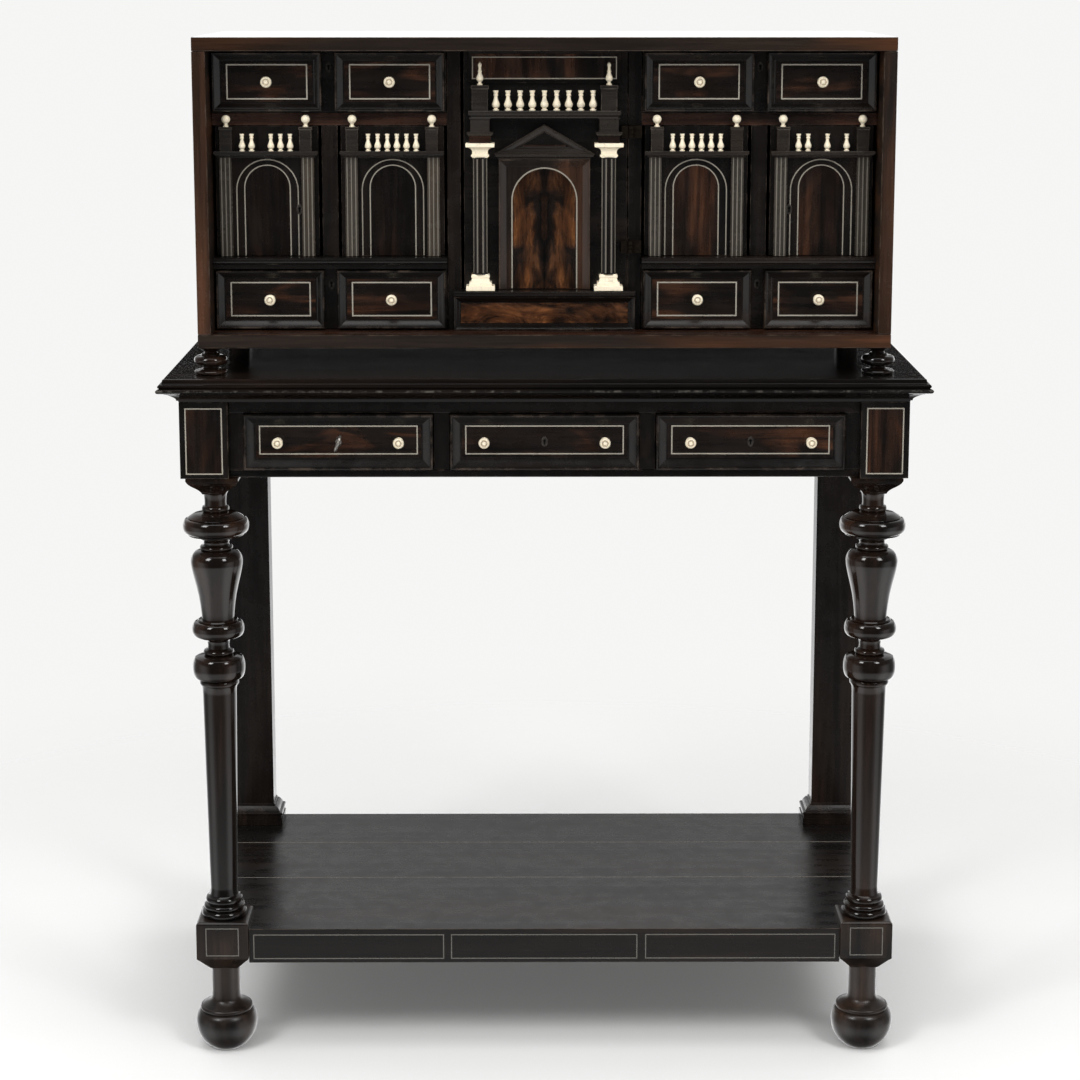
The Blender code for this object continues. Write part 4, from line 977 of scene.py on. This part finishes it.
def makeArchedDoor(node, side, keyed, half, leafIn, thick, ledgeDrop, ledge, ledgeProud, pilasterX, pilaster,
        pilasterProud, fillets, fillet, filletProud, block, blockX, ball, neck, outerArch, innerArch, archTop,
        outerDrop, pitch, baluster, balusterRadius, keyX, keyZ, topGap, cap, capOver, ballTurns):
    name = camel(node)
    low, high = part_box(node)
    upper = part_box("bay_shelf_upper_" + node.split("_")[1])[0]
    frontY, top = upper.y, upper.z - topGap
    middle = (low.x + high.x) / 2
    ledgeTop = top - ledgeDrop
    ledgeFoot = ledgeTop - ledge
    blockTop = high.z - 2 * ball - neck
    blockY = frontY - block / 2
    leaf = addBoard(name, (low.x + leafIn, frontY, low.z), (high.x - leafIn, frontY + thick, top), edge=0.0005)
    dress(leaf, ebonyZ, "ebony", node, body=node)
    trim = [nosedPiece("ledge", doorLedge, (middle - half, frontY - ledgeProud, ledgeFoot),
        (middle + half, frontY + lap, ledgeTop), ledgeProud, 0.5)]
    greys, reeds, balls = [], [], []
    for step in (-1, 1):
        x, wide = middle + step * pilasterX, pilaster / 2
        pilasterY = frontY - pilasterProud
        greys.append(addBoard("pilaster", (x - wide, pilasterY, low.z),
            (x + wide, frontY + lap, ledgeFoot + lap), edge=0.0004))
        for count in range(fillets):
            filletX = x + (count - (fillets - 1) / 2) * pilaster / fillets
            reeds.append(addBoard("fillet", (filletX - fillet / 2, pilasterY - filletProud, low.z),
                (filletX + fillet / 2, pilasterY + lap, ledgeFoot + sink), edge=0.0003))
        x = middle + step * blockX
        trim += cappedBlock(x, block / 2, (frontY - block, frontY + cover), ledgeTop - sink, blockTop, cap,
            capOver, edges=(0.0006, 0.0008))
        profile = [(blockTop + rise, ball * share) for rise, share in ballNeck]
        for count in range(2, ballTurns):
            turn = math.pi * count / ballTurns
            profile.append((high.z - ball - ball * math.cos(turn), ball * math.sin(turn)))
        balls.append(turnPiece("ball", (x, blockY), profile, turns=24))
    unite(name + "_ledge", trim, trimWood, "ebony", body=node)
    spring, foot = ledgeFoot - archTop - innerArch, low.z + sink
    lines = [archLine("arch", middle, outerArch, foot, spring - outerDrop, frontY + thin),
        archLine("arch", middle, innerArch, foot, spring, frontY + thin)]
    unite(name + "_lines", lines, archBone, "bone", body=node)
    unite(name + "_pilasters", greys, pilasterWood, "ebony", body=node)
    unite(name + "_reeds", reeds, reeding, "bone", body=node)
    panel = archPanel(name + "_panel", middle, innerArch - cover, foot, spring, frontY + veneer, sink)
    dress(panel, doorPanel if side < 0 else warmPanel, "rosewood", body=node)
    gone = missingBalusters.get(node, ())
    places = [middle + (count - 2.5) * pitch for count in range(6) if count not in gone]
    row = makeBalusters(places, blockY, ledgeTop - veneer, baluster, balusterRadius)
    unite(name + "_bone", row + balls, bone, "bone", body=node)
    if keyed:
        makeKeyhole(name + "_keyhole", middle - side * keyX, frontY, low.z + keyZ, node)


for word, side in sides:
    makeArchedDoor("door_%s_outer" % word, side, True, **archedDoor)
    makeArchedDoor("door_%s_inner" % word, side, False, **archedDoor)
print("arched doors made")


# centre plinth, portico door and columns

plinthShape = dict(cornice=0.0075, corniceProud=0.028, proud=0.014, boardProud=0.006, boardBack=0.015,
    boardLow=0.001, floor=0.01, rim=0.0078)
plinthCornice = pairs(percent, percent, 0, 56, 12, 58, 22, 66, 34, 80, 42, 88, 44, 93, 54, 94, 56, 98, 66, 100,
    80, 100, 92, 99, 100, 96.5)


def makePlinth(cornice, corniceProud, proud, boardProud, boardBack, boardLow, floor, rim):
    low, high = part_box("centre_plinth")
    inner = innerX - sink
    corniceFoot = high.z - cornice
    boardY = faceY - boardProud
    panel, field = mouldedPanel("panel", "plinthField", (low.x, high.x), (low.z, corniceFoot + cover),
        faceY - proud + frameRise, faceY - sink, rim)[:2]
    pieces = [panel,
        addBoard("board", (-inner, boardY, low.z), (inner, faceY + boardBack, high.z - boardLow), edge=0.0005),
        addBoard("floor", (-inner, boardY, high.z - floor), (inner, high.y, high.z), edge=0.0005),
        nosedPiece("cornice", plinthCornice, (low.x, low.y, corniceFoot), (high.x, faceY - sink, high.z),
            corniceProud, 0.5)]
    unite("centrePlinth", pieces, ebonyX, "ebony", "centre_plinth")
    dress(field, burl, "rosewood")


portico = dict(leaf=0.01, panelTall=0.0355, panelProud=0.004, block=0.018, blockTall=0.028, ledge=0.0079,
    half=0.0846, columnX=0.0716, proud=0.024, friezeIn=0.0155, friezeTall=0.0274, gableHalf=0.0557,
    gableTall=0.0325, gableDrop=0.0075, strip=0.0235, stripZ=(0.0078, 0.0096), gableProud=0.012, cornice=0.0068,
    surroundHalf=0.0511, surroundProud=0.0086, fieldIn=0.0036, lineIn=0.0042, lineTop=0.0066, archHalf=0.0363,
    archWide=0.0015, pitch=0.0135, baluster=0.0222, balusterRadius=0.0042, urn=0.0252, urnRadius=0.0039,
    panelGap=0.002, leafPlay=0.001, cap=0.004, capOver=0.001, stripProud=0.0009, archGap=0.0006)
urnTurning = pairs(percent, percent, 0, 78, 6, 78, 8, 50, 13, 42, 17, 60, 23, 92, 31, 100, 39, 90, 48, 62,
    56, 46, 58, 60, 62, 62, 64, 46, 74, 40, 80, 40, 84, 52, 90, 54, 96, 38, 100, 12)
entablature = pairs(percent, mm, 28, 12.2, 29, 12.8, 34, 13.8, 36, 14.6, 43, 14.7, 43.5, 11.2, 50, 10.6,
    93, 10.6, 94, 11.6, 100, 11.8)
porticoLedge = pairs(percent, percent, 0, 86, 14, 87, 26, 90, 36, 94, 38, 96.5, 50, 97, 52, 99, 62, 100,
    80, 100, 92, 99.5, 100, 97.5)
gableCornice = pairs(percent, percent, 0, 62, 14, 64, 30, 72, 46, 84, 50, 92, 72, 94, 76, 100, 100, 100)
panelSteps = pairs(mm, mm, 0.4, 0.4, 1.2, 0, 0.4, -0.8, 1.4, -0.2)
gableSteps = pairs(mm, mm, 0.3, 0.5, 0.3, 0.2, 1.6, 0, 0.2, -0.3, 0.1, -0.9, 1.1, -0.4, 1.2, -0.7, 1, -0.3,
    0.1, -0.9, 1.3, 0, 0.3, -0.2, 0.1, -1.2, 0.4, 0)
surroundSteps = pairs(mm, mm, 0.3, 0.5, 0.7, 0.3, 0.5, -0.3, 0.2, -0.8, 1.2, -0.6, 1.8, -1, 1.8, -1.1,
    1.5, -0.9, 0.7, -0.3, 0.2, -0.8, 0.6, 0)
surroundRise, gableRise = 0.0008, 0.0007


def makePortico(leaf, panelTall, panelProud, block, blockTall, ledge, half, columnX, proud, friezeIn,
        friezeTall, gableHalf, gableTall, gableDrop, strip, stripZ, gableProud, cornice, surroundHalf,
        surroundProud, fieldIn, lineIn, lineTop, archHalf, archWide, pitch, baluster, balusterRadius, urn,
        urnRadius, panelGap, leafPlay, cap, capOver, stripProud, archGap):
    body = "portico_door"
    low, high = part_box(body)
    foot, top, backY = low.z, high.z, faceY + lap
    panelFoot = top - panelTall
    blockTop = panelFoot - panelGap
    ledgeTop = blockTop - blockTall
    ledgeFoot = ledgeTop - ledge
    capitalTop = ledgeFoot - friezeTall
    apex = ledgeFoot - gableDrop
    gableFoot = apex - gableTall
    # leaf, and the panel over the balcony
    panelY = faceY - panelProud
    dark = [addBoard("leaf", (low.x, faceY, foot), (innerX - leafPlay, faceY + leaf, top), edge=0.0005),
        workFront(addBlank("topPanel", (-half, panelY, panelFoot), (half, backY, top)), panelSteps)]
    unite("porticoDoor", dark, ebonyX, "ebony", "portico_door", body=body)
    # balcony ledge, its end blocks and the stepped blocks over the columns
    trim = [nosedPiece("ledge", porticoLedge, (-half, faceY - proud, ledgeFoot),
        (half, backY, ledgeTop), proud, 1)]
    brown = []
    friezeY = faceY - proud + friezeIn
    for side in (-1, 1):
        x = side * columnX
        trim += cappedBlock(x, block / 2, (faceY - block, backY), ledgeTop - sink, blockTop, cap, capOver,
            edges=(0.0007, 0.0009))
        levels = [(capitalTop + (friezeTall + cover) * rise, (x - wide, x + wide), (friezeY - wide, backY))
            for rise, wide in entablature]
        trim.append(stackPiece("entablature", levels))
        wide = entablature[0][1] - cover
        brown.append(addBoard("frieze", (x - wide, friezeY - wide, capitalTop),
            (x + wide, backY, capitalTop + friezeTall * entablature[0][0] + sink), edge=0.0004))
    unite("porticoLedge", trim, trimWood, "ebony", body=body)
    # pediment and the cornice under it
    gableY = faceY - gableProud + gableRise
    gable = addBlank("gable", (-gableHalf, gableY, gableFoot), (gableHalf, backY, apex))
    for depth in (-1, 1):
        pick(gable, "EDGE", lambda point: point.z > apex - near and (point.y - faceY + 0.005) * depth > 0
            and abs(point.x) < 0.001)
        bpy.ops.mesh.merge(type="CENTER")
        closeEdit()
    workFront(faceOut(gable), gableSteps)
    # painted shade: the quirks between the bands and the field of the pediment are marked to be painted
    # near-black
    fieldY = gableY - sum(rise for inset, rise in gableSteps)
    markFaces(gable, "wear", lambda face: float(face.center.y > fieldY - veneer
        or (-0.4 < face.normal.y < -0.02 and face.center.y < fieldY)))
    brown.append(addBoard("pedimentStrip", (-strip, fieldY - stripProud, gableFoot + stripZ[0]),
        (strip, fieldY + lap, gableFoot + stripZ[1]), edge=0.0003))
    unite("porticoFrieze", brown, redRail, "rosewood", body=body)
    under = nosedPiece("cornice", gableCornice, (-gableHalf, faceY - gableProud, gableFoot + sink - cornice),
        (gableHalf, backY, gableFoot + sink), gableProud, 1)
    unite("porticoGable", [gable, under], gableWood, "ebony", body=body)
    # moulded surround, open at its foot
    surroundTop = gableFoot - cornice + lap
    rim = sum(inset for inset, rise in surroundSteps)
    frontY = faceY - surroundProud + surroundRise
    surround = addBlank("porticoSurround", (-surroundHalf, frontY, foot - rim),
        (surroundHalf, backY, surroundTop))
    workFront(surround, surroundSteps)
    editAll()
    bpy.ops.mesh.bisect(plane_co=(0, 0, foot), plane_no=(0, 0, 1), use_fill=True, clear_inner=True)
    closeEdit()
    dress(surround, caseZ, "ebony", body=body)
    # veneers and lines
    field = addBoard("porticoTopField", (-half + fieldIn, panelY + cover, panelFoot + fieldIn),
        (half - fieldIn, panelY + core, top - fieldIn), thin)
    dress(field, rosewoodZ, "rosewood", body=body)
    fieldY = frontY - sum(rise for inset, rise in surroundSteps)
    spring, archFoot = surroundTop - rim - archGap - archHalf, foot + lap
    lineX, lineZ = (-half + lineIn, half - lineIn), (panelFoot + lineIn, top - lineTop)
    lines = [lineFrame("line", lineX, lineZ, panelY + lap),
        archLine("arch", 0, archHalf, archFoot, spring, fieldY + thin, archWide, lap)]
    unite("porticoLines", lines, archBone, "bone", body=body)
    arch = archPanel("porticoArch", 0, archHalf - archGap, archFoot, spring, fieldY + veneer, cover)
    dress(arch, figured, "rosewood", body=body)
    # balusters and urns
    railY = faceY - block / 2
    places = [(count - 4) * pitch for count in range(9)]
    bones = makeBalusters(places, railY, ledgeTop - veneer, baluster, balusterRadius)
    profile = [(blockTop - sink + urn * rise, urnRadius * share) for rise, share in urnTurning]
    bones += [turnPiece("urn", (side * columnX, railY), profile, turns=20) for side in (-1, 1)]
    unite("porticoBone", bones, bone, "bone", body=body)


column = dict(width=0.032, radius=0.0087, base=0.018, capital=0.0163, fillets=8, fillet=0.0015)
columnBase = pairs(percent, percent, 0, 100, 26, 100, 28, 97, 28.5, 80, 48, 78, 51, 74, 51.5, 66, 66, 62,
    78, 58, 80, 64, 92, 64, 94, 58, 100, 56)
columnCapital = pairs(percent, percent, 0, 54, 7, 56, 8, 62, 20, 62, 22, 54, 42, 54, 52, 57, 61, 64, 68, 76,
    72, 92, 74, 98, 77, 100, 97, 100, 100, 98)


def makeColumn(word, width, radius, base, capital, fillets, fillet):
    node, body = "portico_column_" + word, "portico_door"
    low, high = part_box(node)
    middle = (low + high) / 2
    bones = []
    for steps, foot, tall in ((columnBase, low.z, base), (columnCapital, high.z - capital, capital)):
        levels = [(foot + tall * rise, share) for rise, share in steps]
        bones.append(squarePiece("squared", middle, width / 2, (high.y - low.y) / 2, levels))
    unite("columnBone_" + word, bones, bone, "bone", node, body=body)
    foot, top = low.z + base - sink, high.z - capital + sink
    profile = [(foot, radius), (foot + 0.0012, radius), (foot + 0.0014, radius * 0.9),
        (top - 0.0014, radius * 0.86), (top - 0.0012, radius * 0.95), (top, radius * 0.95)]
    dress(turnPiece("columnShaft_" + word, middle, profile, turns=36), ebonyZ, "ebony", body=body)
    strips = []
    for count in range(fillets):
        strip = addBoard("fillet", (-fillet / 2, -radius * 0.96, foot + 0.0016),
            (fillet / 2, -radius * 0.8, top - 0.0016), edge=0.0003)
        strip.rotation_euler.z = 2 * math.pi * (count + 0.5) / fillets
        settle()
        strip.location = (middle.x, middle.y, 0)
        settle()
        strips.append(strip)
    unite("columnFillets_" + word, strips, reeding, "bone", body=body)


hinge = dict(knuckles=3, gap=0.0004, edge=0.0004, pinOut=0.0025, pinBack=0.0057, radius=0.003, leafIn=0.001,
    leafBack=0.0012, plateIn=0.0082, plateOut=0.001)


def makeHinge(word, knuckles, gap, edge, pinOut, pinBack, radius, leafIn, leafBack, plateIn, plateOut):
    node = "portico_hinge_" + word
    low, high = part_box(node)
    pinX, pinY = innerX + pinOut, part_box("portico_column_left")[0].y + pinBack
    tall = (high.z - low.z) / knuckles
    fixedParts, doorParts = [], []
    for count in range(knuckles):
        foot, top = low.z + tall * count + gap / 2, low.z + tall * (count + 1) - gap / 2
        profile = [(foot, radius * 0.9), (foot + sink, radius), (top - sink, radius), (top, radius * 0.9)]
        (doorParts if count == 1 else fixedParts).append(turnPiece("knuckle", (pinX, pinY), profile, turns=20))
    fixedParts.append(addBoard("leaf", (pinX - leafIn, pinY + leafBack, low.z),
        (high.x, faceY - sink, high.z), edge))
    unite("porticoHinge_" + word, fixedParts, hingeMetal, "hinge_brass", node)
    doorParts.append(addBoard("plate", (innerX - plateIn, pinY - plateOut, low.z + veneer),
        (pinX - radius - sink, faceY + lap, high.z - veneer), edge))
    unite("porticoPlate_" + word, doorParts, hingeMetal, "hinge_brass", body="portico_door")


makePlinth(**plinthShape)
makePortico(**portico)
for word, side in sides:
    makeColumn(word, **column)
for word in ("upper", "lower"):
    makeHinge(word, **hinge)
print("portico made")


# floor, light and camera

studio = dict(floor=(0.84, 0.84, 0.832), background=(0.918, 0.918, 0.91), ambient=0.6, fade=(0.62, 1.6),
    mirrored=((0, 0.02), (0.2, 0.03), (0.52, 0.08), (0.75, 0.14), (0.955, 0.42), (0.972, 0.42), (0.981, 0.004),
        (1, 0.003)),
    mirrorStrength=2, skyline=0.85, skylineTop=(0.028, 0.06), skylineBack=(0.45, 0.85),
    skylineFoot=(-0.1, -0.02), skylineLow=0.5, wallWide=(0.25, 0.7), wallTop=(0.03, 0.2),
    walls=((0.06, 0), (0.15, 0.13), (0.23, 0.33), (0.36, 0.3), (0.46, 0.15), (0.54, 0.03), (0.6, 0)),
    ground=0.36, groundTop=(-0.42, -0.29), groundNear=(-0.9, -0.62))


def makeFloor():
    floor = startPiece("studioFloor", bpy.ops.mesh.primitive_circle_add, vertices=96, radius=2,
        fill_type="NGON")
    editAll()
    bpy.ops.mesh.inset(thickness=0.8)
    closeEdit()
    finish, place, shader = startFinish("paleFloor")
    tone = addNoise(place, 1.6, 3, 0.5)
    stops = ((0.35, *(0.985 * part for part in studio["floor"])), (0.65, *studio["floor"]))
    # away from the object the floor fades into the pale background
    reach = addNode("VectorMath", {0: place}, operation="LENGTH").outputs["Value"]
    fill(shader, {"Base Color": addRamp(tone, stops), "Roughness": 0.75, "Specular IOR Level": 0.2,
        "Alpha": addSpan(reach, studio["fade"], (1, 0))})
    floor.visible_glossy = False
    floor.data.materials.append(finish)


def makeWorld():
    world = bpy.data.worlds.new("studioWorld")
    bpy.context.scene.world = world
    startTree(world)
    lit = fill(tree["nodes"]["Background"], {"Color": (1, 1, 1), "Strength": studio["ambient"]})
    # seen directly the studio is pale, mirrored it is dark in front with a bright wall at either side
    seen = addNode("Background", {"Color": studio["background"]})
    parts = addNode("SeparateXYZ", {0: addNode("TexCoord", {}).outputs["Generated"]}).outputs
    depth = addNode("MapRange", {"Value": parts["Y"], "From Min": -1}).outputs[0]
    reach = addNode("Math", {0: parts["X"]}, operation="ABSOLUTE").outputs[0]
    # side walls stay below the horizon, and the pale floor shows in front of the object
    walls = times(addRamp(depth, studio["walls"]), addSpan(reach, studio["wallWide"]))
    walls = times(walls, addSpan(parts["Z"], studio["wallTop"], (1, 0)))
    ground = times(addSpan(parts["Z"], studio["groundTop"], (studio["ground"], 0)),
        addSpan(parts["Z"], studio["groundNear"]))
    # a bright line low behind the object
    skyline = times(addSpan(parts["Z"], studio["skylineTop"], (studio["skyline"], 0)),
        addSpan(parts["Y"], studio["skylineBack"]))
    skyline = times(skyline, addSpan(parts["Z"], studio["skylineFoot"], (studio["skylineLow"], 1)))
    room = addRamp(depth, studio["mirrored"])
    for light in (walls, ground, skyline):
        room = addMix("ADD", 1, room, light)
    mirrored = addNode("Background", {"Color": room, "Strength": studio["mirrorStrength"]})
    path = addNode("LightPath", {}).outputs
    shiny = addNode("Math", {0: path["Is Glossy Ray"], 1: path["Is Transmission Ray"]},
        operation="MAXIMUM").outputs[0]
    for amount, other in ((shiny, mirrored), (path["Is Camera Ray"], seen)):
        lit = addNode("MixShader", {0: amount, 1: lit.outputs[0], 2: other.outputs[0]})
    fill(tree["nodes"]["World Output"], {"Surface": lit.outputs[0]})


lamps = dict(softboxLeft=dict(place=(-2, -2.2, 2.9), size=(0.9, 1.3), power=48),
    softboxRight=dict(place=(1.9, -2.4, 2.8), size=(0.9, 1.3), power=42),
    topPanel=dict(place=(0, -0.2, 3.4), size=(3.2, 2.6), power=54),
    lowFill=dict(place=(0, -2.6, 0.95), size=(3.2, 0.6), power=14))
lampAim = Vector((0, 0, 0.62))


def addHolder(name, content):
    holder = bpy.data.objects.new(name, content)
    bpy.context.scene.collection.objects.link(holder)
    return holder


def makeLamp(name, place, size, power):
    light = bpy.data.lights.new(name, "AREA")
    light.shape = "RECTANGLE"
    light.size, light.size_y = size
    light.energy = power
    holder = addHolder(name, light)
    holder.location = place
    holder.visible_glossy = name != "lowFill"  # the fill only lightens the shadow
    holder.rotation_euler = (lampAim - holder.location).to_track_quat("-Z", "Y").to_euler()


camera = dict(place=(-0.017, -3, 1.24), yaw=0.2428, tilt=10.167, lens=84.81, shift=-0.1)


def makeCamera(place, yaw, tilt, lens, shift):
    optics = bpy.data.cameras.new("photoCamera")
    optics.lens = lens
    optics.sensor_width = 36
    optics.shift_y = shift
    holder = addHolder("photoCamera", optics)
    holder.location = place
    holder.rotation_euler = (math.radians(90 - tilt), 0, math.radians(-yaw))
    bpy.context.scene.camera = holder


makeFloor()
makeWorld()
for name, lamp in lamps.items():
    makeLamp(name, **lamp)
makeCamera(**camera)
bpy.context.scene.view_settings.view_transform = "Standard"
print("floor, light and camera made")
